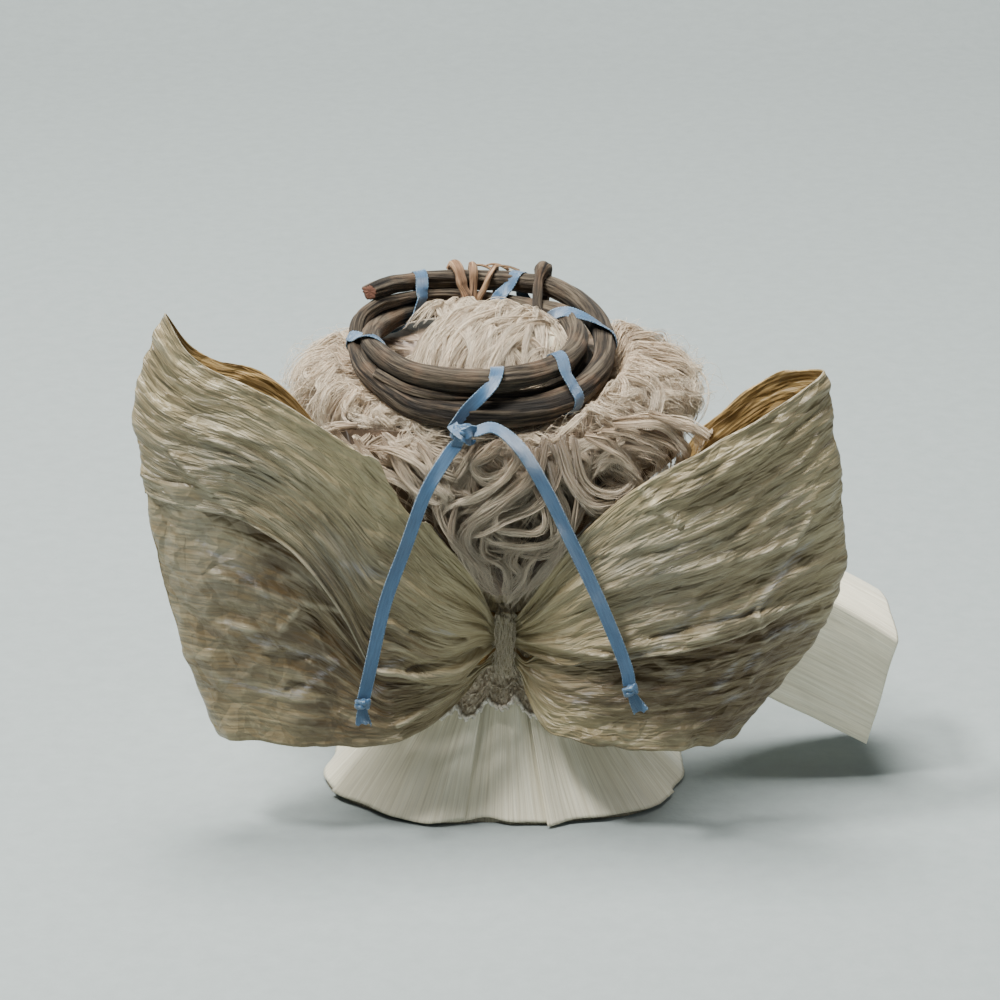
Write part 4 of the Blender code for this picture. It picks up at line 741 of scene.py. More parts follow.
# %% Wing outlines
TIE = np.array([0.0, -17.6, 38.7])
TIE_SHARE = 0.344
SPAN = 112.5
WING_DEPTH = 15.5
LOOP = (
    (0.005, 0.075), (0.035, 0.105), (0.10, 0.36), (0.20, 0.66), (0.33, 0.88), (0.50, 1.00), (0.67, 0.98),
    (0.82, 0.86), (0.94, 0.68), (1.00, 0.44), (0.95, 0.25), (0.82, 0.19), (0.67, 0.18), (0.50, 0.17),
    (0.33, 0.165), (0.20, 0.14), (0.10, 0.08), (0.035, -0.065), (0.005, -0.07),
)
OUTLINES = {
    "left": {
        "fold": ((0.187, 0.820), (0.247, 0.860), (0.357, 0.911), (0.476, 0.962), (0.650, 1.000), (0.862, 0.997), (0.918, 0.980), (1.000, 0.925)),
        "back_top": ((0.000, 0.392), (0.035, 0.396), (0.060, 0.440), (0.210, 0.596), (0.370, 0.731), (0.600, 0.840), (0.770, 0.892), (0.870, 0.915), (0.950, 0.952), (1.000, 1.000)),
        "front_top": ((0.000, 0.392), (0.035, 0.396), (0.120, 0.444), (0.280, 0.507), (0.440, 0.596), (0.510, 0.700), (0.580, 0.790), (0.660, 0.850), (0.760, 0.885), (0.860, 0.903), (0.940, 0.935), (1.000, 1.000)),
        "flap": ((0.000, 0.336), (0.035, 0.336), (0.140, 0.288), (0.190, 0.289), (0.300, 0.325), (0.370, 0.344), (0.440, 0.440), (0.550, 0.552), (0.680, 0.620), (1.000, 0.658)),
        "hidden": ((0.000, 0.324), (0.035, 0.324), (0.060, 0.310), (0.100, 0.312), (0.160, 0.330), (0.300, 0.360), (0.370, 0.385), (0.440, 0.480), (0.550, 0.600), (0.680, 0.670), (1.000, 0.700)),
        "bottom": ((0.000, 0.300), (0.035, 0.300), (0.060, 0.300), (0.120, 0.268), (0.200, 0.232), (0.280, 0.206), (0.390, 0.189), (0.600, 0.177), (0.830, 0.191), (1.000, 0.187)),
    },
    "right": {
        "fold": ((0.176, 0.704), (0.247, 0.777), (0.277, 0.820), (0.357, 0.906), (0.457, 0.983), (0.516, 1.000), (0.650, 0.987), (0.748, 0.960), (0.871, 0.938), (0.892, 0.925)),
        "back_top": ((0.000, 0.392), (0.035, 0.396), (0.060, 0.420), (0.170, 0.538), (0.330, 0.654), (0.610, 0.769), (0.790, 0.826), (0.915, 0.863), (1.000, 0.892)),
        "front_top": ((0.000, 0.392), (0.035, 0.396), (0.120, 0.444), (0.300, 0.507), (0.430, 0.587), (0.490, 0.620), (0.580, 0.737), (0.700, 0.813), (0.860, 0.876), (1.000, 0.892)),
        "flap": ((0.000, 0.336), (0.035, 0.336), (0.160, 0.330), (0.310, 0.354), (0.590, 0.393), (0.750, 0.427), (0.850, 0.456), (1.000, 0.477)),
        "hidden": ((0.000, 0.324), (0.035, 0.324), (0.060, 0.312), (0.100, 0.335), (0.310, 0.390), (0.590, 0.430), (0.750, 0.465), (0.850, 0.495), (1.000, 0.520)),
        "bottom": ((0.000, 0.300), (0.035, 0.300), (0.060, 0.290), (0.100, 0.239), (0.300, 0.187), (0.600, 0.174), (1.000, 0.176)),
    },
}
REACH = {"left": 73.0, "right": 69.0}
WING_COLUMNS = 330
HUSK_THICK = 0.00025
TAIL_CLEAR = -34.55
print("wing span", SPAN, "mm and reach", REACH)


# %% Patches and streaks on the wings
def patches(x, z, rows):
    """Soft oval patches: rows of middle, half sizes and strength."""
    total = np.zeros(np.broadcast(x, z).shape)
    for at_x, at_z, wide, high, strength in rows:
        total += strength * np.exp(-(((x - at_x) / wide) ** 2) - ((z - at_z) / high) ** 2)
    return total


def streaks(x, z, lines, width):
    """Brush strokes along lines of points, each thin at both ends."""
    total = np.zeros(np.broadcast(x, z).shape)
    for line in lines:
        line = np.array(line, float)
        last = len(line) - 1
        for i in range(last):
            step = line[i + 1] - line[i]
            at = np.clip(((x - line[i, 0]) * step[0] + (z - line[i, 1]) * step[1]) / (step @ step), 0, 1)
            gap = np.hypot(x - line[i, 0] - at * step[0], z - line[i, 1] - at * step[1])
            reach = width * (0.35 + 0.65 * np.sin(math.pi * (i + at) / last))
            total = np.maximum(total, np.exp(-((gap / reach) ** 2)))
    return total


WING_MARKS = {
    "left": {
        "yellow": [(-30, 84, 15, 9, 1.0), (-22, 72, 11, 9, 0.8), (-14, 52, 12, 12, 0.6), (-42, 92, 14, 6, 0.6), (-60, 78, 10, 4, 0.4)],
        "grey": [(-52, 84, 14, 9, 0.8), (-64, 66, 8, 14, 0.5), (-36, 66, 8, 7, 0.6), (-33, 60, 9, 6, 0.8), (-55, 60, 9, 8, 0.4)],
        # Brown patches, mostly low on the wings; the one at (-42, 58) is partly painted shade in the recess under the
        # flap.
        "brown_and_shade": [(-42, 58, 9, 5, 0.85), (-30, 42, 14, 11, 0.80), (-48, 47, 16, 8, 0.45), (-60, 36, 12, 10, 0.4), (-32, 28, 11, 8, 0.9), (-66, 80, 5, 5, 0.35), (-48, 98, 12, 3, 0.2), (-60, 56, 10, 5, 0.3)],
    },
    "right": {
        "yellow": [(26, 74, 16, 9, 0.5), (12, 56, 9, 10, 0.5), (50, 88, 12, 6, 0.3), (12, 26, 10, 6, 0.6), (64, 70, 5, 16, 0.8)],
        "grey": [(22, 62, 12, 8, 0.6), (36, 66, 12, 9, 0.5), (34, 52, 12, 5, 0.5), (60, 70, 6, 10, 0.4)],
        "brown_and_shade": [(32, 56, 13, 5, 0.35), (32, 34, 16, 8, 0.95), (54, 44, 12, 7, 0.8), (50, 30, 10, 8, 0.5), (46, 27, 8, 8, 0.6), (40, 78, 14, 5, 0.35), (58, 60, 8, 9, 0.35), (14, 31, 9, 4, 0.45)],
    },
}
PEARL_LINES = {
    "left": [
        [(-57, 49), (-50, 44.5), (-42, 41.5), (-34, 39.5)], [(-60, 36), (-50, 33), (-42, 32.5), (-38, 36), (-34, 39)],
        [(-33, 62.5), (-28, 60.5), (-23, 58.5)], [(-31, 61), (-26, 59)], [(-29, 37), (-24, 39), (-20, 40)], [(-16, 46), (-10, 43)],
        [(-62, 66), (-54, 60), (-48, 54)], [(-30, 31), (-24, 34)],
    ],
    "right": [
        [(29, 42.5), (34, 47), (41, 53.5)], [(24, 40), (29, 43)], [(33, 36), (37, 38.5)], [(42, 33), (45, 36), (47, 40)],
        [(49, 38), (52, 43)], [(52, 45), (58, 47), (63, 47)], [(44, 30), (49, 32)], [(62, 66), (58, 62), (54, 60)],
        [(50, 52), (55, 58), (59, 64)], [(14, 29), (18, 32)], [(40, 49), (47, 51), (54, 54)],
    ],
}


# %% Wing husks
def step_noise(place, size, seed):
    """Unevenness that changes in sudden steps, as a tear does along ribs."""
    level = noise(place, seed=seed) * 2.2
    held = np.round(level)
    return size * (held + 0.35 * (level - held))


def crease(*places, seed=0):
    """A network of creases: 1 on a fold and falling away from it."""
    return 1 - np.abs(noise(*places, seed=seed)) * 2


def smoothed(values, rounds):
    """Each value shared out among its neighbours a few times."""
    for _ in range(rounds):
        values = np.pad(values, 1, mode="edge")
        values = (values[:-2, 1:-1] + values[2:, 1:-1] + values[1:-1, :-2] + values[1:-1, 2:] + 2 * values[1:-1, 1:-1]) / 6
    return values


def facets(u, v, seed=0):
    """Unevenness of flat facets with sharp folds between them, as in crumpled paper."""
    u, v = np.broadcast_arrays(u, v)
    u = u + 0.45 * noise(u * 0.8, v * 0.8, seed=seed)
    v = v + 0.45 * noise(v * 0.8 + 7.0, u * 0.8, seed=seed + 1)
    i, j = np.floor(u), np.floor(v)
    in_u, in_v = u - i, v - j

    def corner(add_i, add_j):
        return np.mod(np.sin((i + add_i) * 127.1 + (j + add_j) * 311.7 + seed * 74.7) * 43758.5453, 1.0) * 2 - 1

    h00, h10, h01, h11 = corner(0, 0), corner(1, 0), corner(0, 1), corner(1, 1)
    first = np.where(in_u > in_v, h00 + (h10 - h00) * in_u + (h11 - h10) * in_v, h00 + (h11 - h01) * in_u + (h01 - h00) * in_v)
    last = np.where(in_u + in_v < 1, h00 + (h10 - h00) * in_u + (h01 - h00) * in_v, h11 + (h01 - h11) * (1 - in_u) + (h10 - h11) * (1 - in_v))
    return np.where(np.mod(i + j, 2) < 1, first, last)


FLAP_SHADE = {"left": 0.95, "right": 0.45}
RIDGES = {
    "left": [
        (0.75, [(-66, 85), (-59, 78), (-53, 72.5)]), (0.55, [(-60, 60), (-50, 55.5), (-42, 53), (-33, 50.5)]),
        (0.45, [(-58, 49), (-46, 46), (-42, 51.5)]), (-0.7, [(-49, 41), (-44, 40), (-40, 40.5)]), (-0.6, [(-45, 33.5), (-41, 34.5)]),
        (1.2, [(-26, 38), (-18, 35.8), (-10, 35), (-3, 38)]), (1.2, [(-22, 25), (-14, 29.5), (-8, 33), (-3, 37)]),
        (0.5, [(-38, 69), (-30, 61), (-24, 55), (-18, 52)]), (0.5, [(-25, 62), (-17, 53), (-9, 45.5), (-4, 42)]),
        (-1.0, [(-19, 45.5), (-13, 43.5), (-8, 41.5)]), (-1.0, [(-20, 37.2), (-12, 37.6), (-5, 38.4)]), (0.4, [(-62, 96), (-50, 90), (-40, 81)]),
    ],
    "right": [
        (1.3, [(3, 40.5), (10, 41), (21, 41.5)]), (-0.5, [(3, 39.0), (11, 38.8), (20, 39.2)]), (0.8, [(11, 42.5), (24, 43.5), (38, 46), (49, 50), (66, 54.5)]),
        (0.55, [(21, 56), (32, 59.5), (44, 62.5), (58, 66)]), (0.45, [(19, 63), (38, 69.5), (58, 82), (65, 91)]),
        (0.7, [(27, 78.5), (31, 74.5), (35, 71)]), (0.6, [(61, 71), (54, 58.5), (51, 51.5)]), (0.5, [(51, 51.5), (53, 44), (50, 35)]),
        (-0.7, [(30, 46), (42, 49), (52, 52)]), (0.6, [(4, 44), (9, 50), (16, 57)]), (-0.5, [(4, 46), (10, 54), (18, 62)]),
        (0.5, [(8, 34), (18, 31), (28, 30)]), (-0.6, [(26, 36), (36, 35), (46, 36)]),
    ],
}


def wing_piece(side_name, upper):
    side = -1 if side_name == "left" else 1
    tables, reach = OUTLINES[side_name], REACH[side_name]
    rows = 96 if upper else 64
    seed = 100 * (1 + side) + (10 if upper else 50)
    u = np.linspace(0, 1, WING_COLUMNS)
    v = np.linspace(0, 1, rows)[:, None]
    loop = read(np.column_stack([np.linspace(0, 1, len(LOOP)), LOOP]), u)
    out_share, depth_share = loop[:, 0], loop[:, 1]
    held = np.minimum(out_share, 1.0)
    back = u < 0.5
    top_name = ("back_top", "front_top") if upper else ("hidden", "hidden")
    high = np.where(back, read(tables[top_name[0]], held), read(tables[top_name[1]], held))
    low = read(tables["flap" if upper else "bottom"], held)
    from_tie = out_share * reach
    passed = along(np.column_stack([from_tie, depth_share * WING_DEPTH])) 
    free = ease((from_tie - 7.0) / 10.0) * ease((1.0 - held) * 12)
    whole = high
    if upper:
        torn = np.exp(-(((held - 0.30) / 0.10) ** 2)) * back * (side < 0) + 0.12 * ~back
        high = high + free * (torn * step_noise(passed / 4.5, 0.013, seed + 1) + 0.0015 * noise(passed / 7, seed=seed + 2))
        low = low + free * 0.004 * noise(passed / 7.0, seed=seed + 3)
    else:
        low = low + free * 0.004 * noise(passed / 5.0, seed=seed + 3)
    share = low + (high - low) * v
    z = TIE[2] + (share - TIE_SHARE) * SPAN
    fold_low = tables["flap" if upper else "bottom"][-1][1]
    fold_high = tables[top_name[0]][-1][1]
    fold = read(tables["fold"], fold_low + (fold_high - fold_low) * v[:, 0])[:, None]
    near_fold = ease((out_share - 0.8) / 0.2)
    recess = 1.6 * np.exp(-(((held - 0.50) / 0.16) ** 2))
    sunk = 0.0 if upper else ease((from_tie - 2.8) / 4.0) * (1.5 + recess - 0.9 * ease((held - 0.65) / 0.25))
    x = side * (out_share * fold * reach - sunk * near_fold)
    inward = np.clip((0.5 - u) / 0.08, -1, 1)
    y = TIE[1] - depth_share * WING_DEPTH + sunk * inward + 0 * v
    grid = np.stack([x, y, z], axis=-1) * MM
    width = 47.0 if upper else 30.0
    across = width * (share - low) / (whole - low)
    # The husk is gathered at the tie, so the same ribs stand closer together there.
    away = from_tie[None, :]
    start = ease((away - 2.3) / 3.5)
    count = 4.5 if upper else 3.5
    squeezed = np.clip((high - low) * SPAN / width, 0, 1)
    fine = squeezed * (0.06 + 0.94 * ease((away - 9) / 24))
    broad = np.sin(v * (9.0 if upper else 6.0) + seed)
    wander = 0.5 * noise(away / 14, v * 3, seed=seed + 4)
    pleats = np.abs(((v * count + wander + 0.3) % 1.0) - 0.5) * 4 - 1
    fine_pleats = np.abs(((v * count * 2.4 + 1.4 * wander) % 1.0) - 0.5) * 4 - 1
    d = start * (1.0 * pleats * np.exp(-away / 6.5) + 0.10 * fine_pleats * np.exp(-away / 5) + 0.50 * broad * np.exp(-away / 20))
    far = ease((away - 7) / 16)
    d = d + far * 0.45 * noise(passed / 19, v * 2.0, seed=seed + 5)
    d = d + (0.15 + 0.85 * far) * 0.85 * facets(passed / 10.5, across / 4.6, seed=seed + 6)
    d = d + fine * 0.46 * facets(passed / 5.2, across / 2.1, seed=seed + 7)
    d = d + fine * 0.16 * facets(passed / 2.6, across / 1.0, seed=seed + 8)
    d = d + squeezed ** 2 * (0.10 * noise(across / 0.8, passed / 22, seed=seed + 10) + 0.05 * noise(across / 0.5, passed / 9, seed=seed + 11))
    if upper:
        lip = np.exp(-(across / 2.0)) * np.exp(-(((held - 0.52) / 0.20) ** 2)) * back
        d = d + 1.1 * lip
    fold_lines = np.zeros(d.shape)
    for high_fold, line in RIDGES[side_name]:
        fold_lines = fold_lines + high_fold * streaks(grid[..., 0] / MM, grid[..., 2] / MM, [line], 1.3) * back
    d = d + fold_lines
    ridge_shading = d - smoothed(d, 5)
    room = ease((away - 1.2) / 3.0)
    hold = np.where(back, 1.0, 0.6) * room
    flip = 1 if side > 0 else -1
    grid = grid[::flip]
    d, across, share, ridge_shading = (d * hold)[::flip], across[::flip], share[::flip], ridge_shading[::flip]
    grid = grid + normals(grid) * (d * MM)[..., None]
    grid[..., 1] = np.maximum(grid[..., 1], TAIL_CLEAR * MM + 0.1 * MM * noise(passed / 5, across / 5, seed=seed + 12))
    if upper:
        # The inner run of the husk keeps clear of the hair that falls between the wings.
        inner = ~back & (away[0] > 4)
        grid[:, inner, 1] += 0.0002
    at_x, at_z = grid[..., 0] / MM, grid[..., 2] / MM
    marks = {mark: np.clip(patches(at_x, at_z, rows_), 0, 1) for mark, rows_ in WING_MARKS[side_name].items()}
    marks["pearl"] = streaks(at_x, at_z, PEARL_LINES[side_name], 1.0) * back
    # Ridges of the relief get painted highlight and creases get painted shade, through the fold mark.
    marks["fold"] = np.clip(0.9 * ridge_shading + 0.5, 0, 1)
    if not upper:
        # The lower husk is a little browner all over, with a band of painted shadow just under the upper husk's flap.
        below = (read(tables["flap"], held) - share) * SPAN
        shaded = np.exp(-((below / 6.5) ** 2)) * np.exp(-(((held - 0.52) / 0.22) ** 4)) * back
        marks["brown_and_shade"] = np.clip(marks["brown_and_shade"] + 0.15 + FLAP_SHADE[side_name] * shaded, 0, 1)
    else:
        # A painted highlight along the lower edge of the upper husk's flap.
        hem = np.exp(-(((share - read(tables["flap"], held)) * SPAN / 0.7) ** 2)) * (back & (held > 0.25))
        marks["fold"] = np.clip(marks["fold"] + 0.30 * hem, 0, 1)
    marks["loose"] = np.broadcast_to(ease((from_tie - 4.0) / 15.0), at_x.shape)
    lay = np.stack(np.broadcast_arrays(passed * MM + (0 if upper else 0.3), across * MM + 0.1 * seed, 0.0 * across), axis=-1)
    level = "upper" if upper else "lower"
    piece = sheet_piece(f"{side_name}_{level}_wing_husk", grid, HUSK_THICK, [wing_outside, wing_inside, wing_rim], "base", lay, marks)
    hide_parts(f"{side_name}_wing_{level}")
    print(side_name, level, "husk loop is", round(passed[-1]), "mm long")
    return piece


for side_name in ("left", "right"):
    for upper in (True, False):
        wing_piece(side_name, upper)

# %% Band that ties the wings
band_turn = np.linspace(0, TURN, 150, endpoint=False)
band_rows = []
for across in np.linspace(-1, 1, 26):
    deep = np.sign(np.cos(band_turn)) * np.sqrt(np.abs(np.cos(band_turn))) * 2.35
    high = np.sign(np.sin(band_turn)) * np.sqrt(np.abs(np.sin(band_turn))) * 7.0
    lump = 0.65 * noise(band_turn * 4.2, np.full(150, across * 1.6), seed=71) + 0.50 * noise(band_turn * 7, np.full(150, across * 5), seed=72)
    pinch = 1 - 0.10 * np.sin(band_turn) ** 2 + 0.16 * noise(band_turn * 1.3, seed=73)
    x = across * (1.85 + 0.22 * noise(band_turn * 5.5, seed=74)) * pinch + 0.25 * np.sin(band_turn * 0.5)
    y = TIE[1] - 0.25 - deep * (1 + 0.10 * lump) - np.sign(deep) * lump * 0.5 * (1 - 0.5 * across**2)
    band_rows.append(np.stack([x, y, TIE[2] + high * (1 + 0.03 * lump)], axis=-1) * MM)
band_grid = np.array(band_rows)[::-1]
lay = np.stack(np.broadcast_arrays(band_turn[None] * 0.0045, np.linspace(-0.002, 0.002, 26)[:, None], 0.0), axis=-1)
band = sheet_piece("wing_tie_band", band_grid, 0.0004, [tie_husk], "base", lay, closed=True)
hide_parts("wing_band")
print("wing band drawn")

# %% [markdown]
# The hair is curly mohair, glued on in locks. A lock is a bundle of fine hairs that share one curl:
# they spread in its middle, gather at its tip and each strays a little. So every lock gets a guide
# line, and its hairs are thin three-sided tubes that follow the guide. Under the locks lies a soft
# mass in the same colour, painted darker as shade, so no light comes through. Hair this fine has to be
# real geometry, because its outline against the background is what shows it as hair.

# %% Mohair materials
def hair_material(name, root, middle, tip):
    material, tree, shader = new_material(name, 0.46, sheen=0.3, specular=0.45)
    place = add(tree, "ShaderNodeAttribute", attribute_name="lay")
    parts = add(tree, "ShaderNodeSeparateXYZ", {"Vector": place.outputs["Vector"]})
    # Each hair runs from a dark root, painted shade near the head, to a pale tip, painted highlight. The second place
    # darkens whole hairs: random tone, and painted shade on locks that lie low.
    tone = ramp(tree, parts.outputs["X"], [(0.0, root), (0.25, middle), (0.70, tip), (1.0, [c * 1.08 for c in tip])])
    tone = mixed(tree, spread(tree, parts.outputs["Y"], 0.0, 1.0, 0.0, 0.70), tone, [c * 0.36 for c in middle])
    warm = grain(tree, laid(tree, (3, 9, 9)), detail=2)
    tone = mixed(tree, spread(tree, warm, 0.5, 0.7, 0.0, 0.30), tone, (0.66, 0.47, 0.33))
    paint(tree, shader, tone)
    return material


mohair = hair_material("mohair", (0.300, 0.205, 0.120), (0.760, 0.610, 0.430), (0.930, 0.810, 0.620))
# The hair under the locks is painted dark, as the shade between them.
mohair_under = hair_material("mohair_under", (0.060, 0.037, 0.022), (0.160, 0.110, 0.072), (0.270, 0.195, 0.130))
HEAD_PLACE = np.array([0.0, 0.0, 91.0])
HAIR_CENTRE = np.array([-2.0, 1.0, 86.0])
HAIR_HALF = np.array([41.0, 26.0, 16.5])
CROWN_CENTRE = np.array([-1.5, 0.0, 90.5])
CROWN_HALF = np.array([17.2, 16.8, 13.5])
print("mohair is mixed")

# %% [markdown]
# Hair gives way to what is firm. Three small rules keep every hair where it would lie: it passes
# under the wreath and swells outside it, it lies in front of the wings' hidden side where a wing
# covers it, and hair inside the wreath stays inside.

# %% Rules that keep hair off the wreath and the wings
UNDER_WREATH = (
    (-180, 94.0), (-145, 92.0), (-126, 89.8), (-110, 88.2), (-90, 87.5), (-70, 87.5), (-50, 88.2),
    (-30, 89.5), (0, 92.0), (50, 93.3), (90, 94.5), (140, 95.0), (180, 94.0),
)
WREATH_EDGE = 28.6


def under_wreath(points):
    """Presses points of hair down under the wreath and lets them swell outside it."""
    off_x, off_y = points[..., 0] + 5.0, points[..., 1]
    away = np.hypot(off_x, off_y)
    limit = read(UNDER_WREATH, np.degrees(np.arctan2(off_y, off_x))) + 2.6 * np.maximum(0, away - WREATH_EDGE)
    limit = limit - (rng.uniform(0, 3.0, (len(points), 1)) if len(points) > 300 else 0)
    points[..., 2] = np.minimum(points[..., 2], limit)
    return points


def behind_wings(points):
    """Pushes points of hair to the doll's side of the wings' husks."""
    for side_name, side in (("left", -1), ("right", 1)):
        reach = REACH[side_name]
        out = np.clip(points[..., 0] * side / reach, 0, 1)
        inner = TIE[2] + (read(OUTLINES[side_name]["front_top"], out) - TIE_SHARE) * SPAN
        outer = TIE[2] + (read(OUTLINES[side_name]["back_top"], out) - TIE_SHARE) * SPAN
        depth = read(((0.0, 0.05), (0.035, 0.105), (0.10, 0.36), (0.20, 0.66), (0.33, 0.88), (0.50, 1.0), (1.0, 1.0)), out)
        behind_outer = -40 + (22.4 - depth * WING_DEPTH + 2.4) * ease((outer + 2.4 - points[..., 2]) / 2.0)
        behind_inner = -40 + 22.2 * ease((inner + 2.4 - points[..., 2]) / 2.0)
        limit = np.where(points[..., 0] * side > 0, np.maximum(behind_outer, behind_inner), -40)
        points[..., 1] = np.maximum(points[..., 1], limit)
    return points


def inside_wreath(points):
    """Keeps the crown's hair within the ring."""
    off_x, off_y = points[..., 0] + 5.0, points[..., 1]
    away = np.hypot(off_x, off_y)
    shrink = np.minimum(1.0, 19.4 / np.maximum(away, 0.1))
    points[..., 0] = off_x * shrink - 5.0
    points[..., 1] = off_y * shrink
    return points


# %% [markdown]
# One lock is made from a guide line. Each hair takes its own place in the bundle, turns a little
# round it, strays towards its end and is cut at its own length. The hairs of many locks are joined
# into one mesh, and one mesh holds no more hairs than stay easy to handle.

# %% Locks of hair
HAIR_POINTS = 21
HAIR_SIDES = 3
HAIR_SIZE = 0.060
HAIRS_PER_PIECE = 1500
share = np.linspace(0, 1, HAIR_POINTS)


def lock_hairs(guide, count, wide, frizz, tip=0.25, size=HAIR_SIZE, dark=0.0):
    """Hairs round a guide line: paths, sizes and shades. All in millimetres."""
    k = len(guide)
    ahead = np.gradient(guide, axis=0)
    ahead /= np.maximum(np.linalg.norm(ahead, axis=1, keepdims=True), 1e-9)
    side = np.cross(ahead, [0.13, -0.95, 0.35])
    side /= np.maximum(np.linalg.norm(side, axis=1, keepdims=True), 1e-9)
    over = np.cross(side, ahead)
    swell = wide * (0.35 + 0.65 * np.sin(math.pi * np.clip(share * 0.95 + 0.05, 0, 1)) ** 0.7)
    swell = swell * (1 - (1 - tip) * ease((share - 0.6) / 0.4))
    spot = np.sqrt(rng.uniform(0, 1, (count, 1))) * 0.5
    turn = rng.uniform(0, TURN, (count, 1)) + share * rng.uniform(-1.0, 1.0, (count, 1))
    shift_side, shift_over = swell * spot * np.cos(turn) * 1.3, swell * spot * np.sin(turn) * 0.6
    wave = rng.uniform(0.7, 1.5, (count, 1)) * share * 10 + rng.uniform(0, TURN, (count, 1))
    stray = frizz * rng.standard_normal((count, 1)) * share**1.2
    shift_side = shift_side + stray * np.sin(wave)
    shift_over = shift_over + stray * np.cos(wave * 0.83)
    cut = rng.uniform(0.74, 1.0, (count, 1))
    paths = guide[None] + side[None] * shift_side[..., None] + over[None] * shift_over[..., None]
    places = cut * share * (k - 1)
    low = np.minimum(places.astype(int), k - 2)
    rest = (places - low)[..., None]
    rows = np.arange(count)[:, None]
    paths = paths[rows, low] * (1 - rest) + paths[rows, low + 1] * rest
    sizes = size * rng.uniform(0.7, 1.25, (count, 1)) * (1 - 0.75 * share**2.5)
    # Hairs are darkened at random and by dark, which callers give as painted shade to locks that lie low, and as random
    # tone in the crown.
    shade = np.clip(rng.uniform(-0.1, 1.0, (count, 1)) * 0.7 + 0.25 * rng.uniform(0, 1) + dark, 0, 1) + 0 * share
    return paths, sizes, shade


def hair_mesh(name, paths, sizes, shades, material=mohair, body="head"):
    count, k = paths.shape[:2]
    ahead = np.gradient(paths, axis=1)
    ahead /= np.maximum(np.linalg.norm(ahead, axis=-1, keepdims=True), 1e-9)
    side = np.cross(ahead, rng.standard_normal((count, 1, 3)))
    side /= np.maximum(np.linalg.norm(side, axis=-1, keepdims=True), 1e-9)
    over = np.cross(side, ahead)
    turn = np.arange(HAIR_SIDES) * TURN / HAIR_SIDES
    ring = side[:, :, None] * np.cos(turn)[:, None] + over[:, :, None] * np.sin(turn)[:, None]
    points = (paths[:, :, None] + ring * sizes[:, :, None, None]) * MM
    faces = grid_faces(k, HAIR_SIDES, closed_columns=True)
    faces = (faces[None] + (np.arange(count) * k * HAIR_SIDES)[:, None, None]).reshape(-1, 4)
    lay = np.stack(np.broadcast_arrays(share[None, :, None], shades[:, :, None], np.arange(count)[:, None, None] * 0.11 + 0 * turn), axis=-1)
    piece = mesh_piece(name, points, faces, [material], body, lay)


def hair_pieces(name, locks, rules):
    """Meshes from the hairs of many locks, after the rules for where hair lies."""
    paths, sizes, shades = (np.concatenate([lock[part] for lock in locks]) for part in range(3))
    for rule in rules:
        paths = rule(paths)
    order = rng.permutation(len(paths))
    parts = math.ceil(len(paths) / HAIRS_PER_PIECE)
    for part in range(parts):
        pick = order[part::parts]
        hair_mesh(f"{name}_{part + 1}", paths[pick], sizes[pick], shades[pick])
    print(name, "has", len(paths), "hairs in", parts, "pieces")


def on_cap(turn, rise, lift=1.0):
    """A place over the hair's rounded form: degrees round it and up it."""
    turn, rise = np.radians(turn), np.radians(rise)
    ball = np.stack(np.broadcast_arrays(np.cos(turn) * np.cos(rise), np.sin(turn) * np.cos(rise), np.sin(rise)), axis=-1)
    return HAIR_CENTRE + ball * HAIR_HALF * np.asarray(lift)[..., None]


# %% [markdown]
# The mass under the locks is what is seen between them: tangled hair in shade. It is three rounded
# forms, one all round the head, one inside the wreath and one that tapers to the wings' tie. Their
# faces are combed into strings, and they are darker than the locks.

# %% The mass under the locks
mass_turn = np.linspace(0, 360, 200, endpoint=False)[None, :]
mass_rise = np.linspace(-90, 90, 90)[:, None]
strings = noise(mass_turn / 4, mass_rise / 30, seed=81) + 0.5 * noise(mass_turn / 1.8, mass_rise / 16, seed=82)
lift = 0.82 + 0.05 * strings + 0.03 * noise(mass_turn / 25, mass_rise / 20, seed=83)
face_side = np.exp(-(((mass_turn - 90) / 42) ** 4)) * np.exp(-(((mass_rise + 16) / 34) ** 4))
lift = lift * (1 - 0.62 * face_side)
lift = lift + 0.20 * np.exp(-(((mass_turn - 130) / 26) ** 4)) * ease((mass_rise - 8) / 12)
mass = on_cap(mass_turn, mass_rise, lift)
mass[..., 2] = np.maximum(mass[..., 2], np.where(mass[..., 1] < -8, 71.5, 74.6))
mass[..., 2] = np.minimum(mass[..., 2], 88.5 + 6.5 * ease((mass[..., 1] - 3) / 8) + 2.6 * np.maximum(0, np.hypot(mass[..., 0] + 5, mass[..., 1]) - WREATH_EDGE))
mass = behind_wings(under_wreath(mass))
lay = np.stack(np.broadcast_arrays(0.35 + 0.25 * strings, 0.5 - 0.3 * strings, mass_turn / 40), axis=-1)
hair_mass = mesh_piece("hair_mass", mass * MM, grid_faces(90, 200, closed_columns=True), [mohair_under], "head", lay)
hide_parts("hair_cap")


def crown_place(off_x, off_y, lift=0.0):
    """A place over the hair inside the wreath."""
    away = np.clip((off_x / CROWN_HALF[0]) ** 2 + (off_y / CROWN_HALF[1]) ** 2, 0, 0.97)
    lumps = 1.0 * noise(np.asarray(off_x) / 4.5, np.asarray(off_y) / 4.5, seed=88)
    height = CROWN_CENTRE[2] + (CROWN_HALF[2] + lift + lumps) * np.sqrt(1 - away)
    return np.stack(np.broadcast_arrays(CROWN_CENTRE[0] + off_x, CROWN_CENTRE[1] + off_y, height), axis=-1)


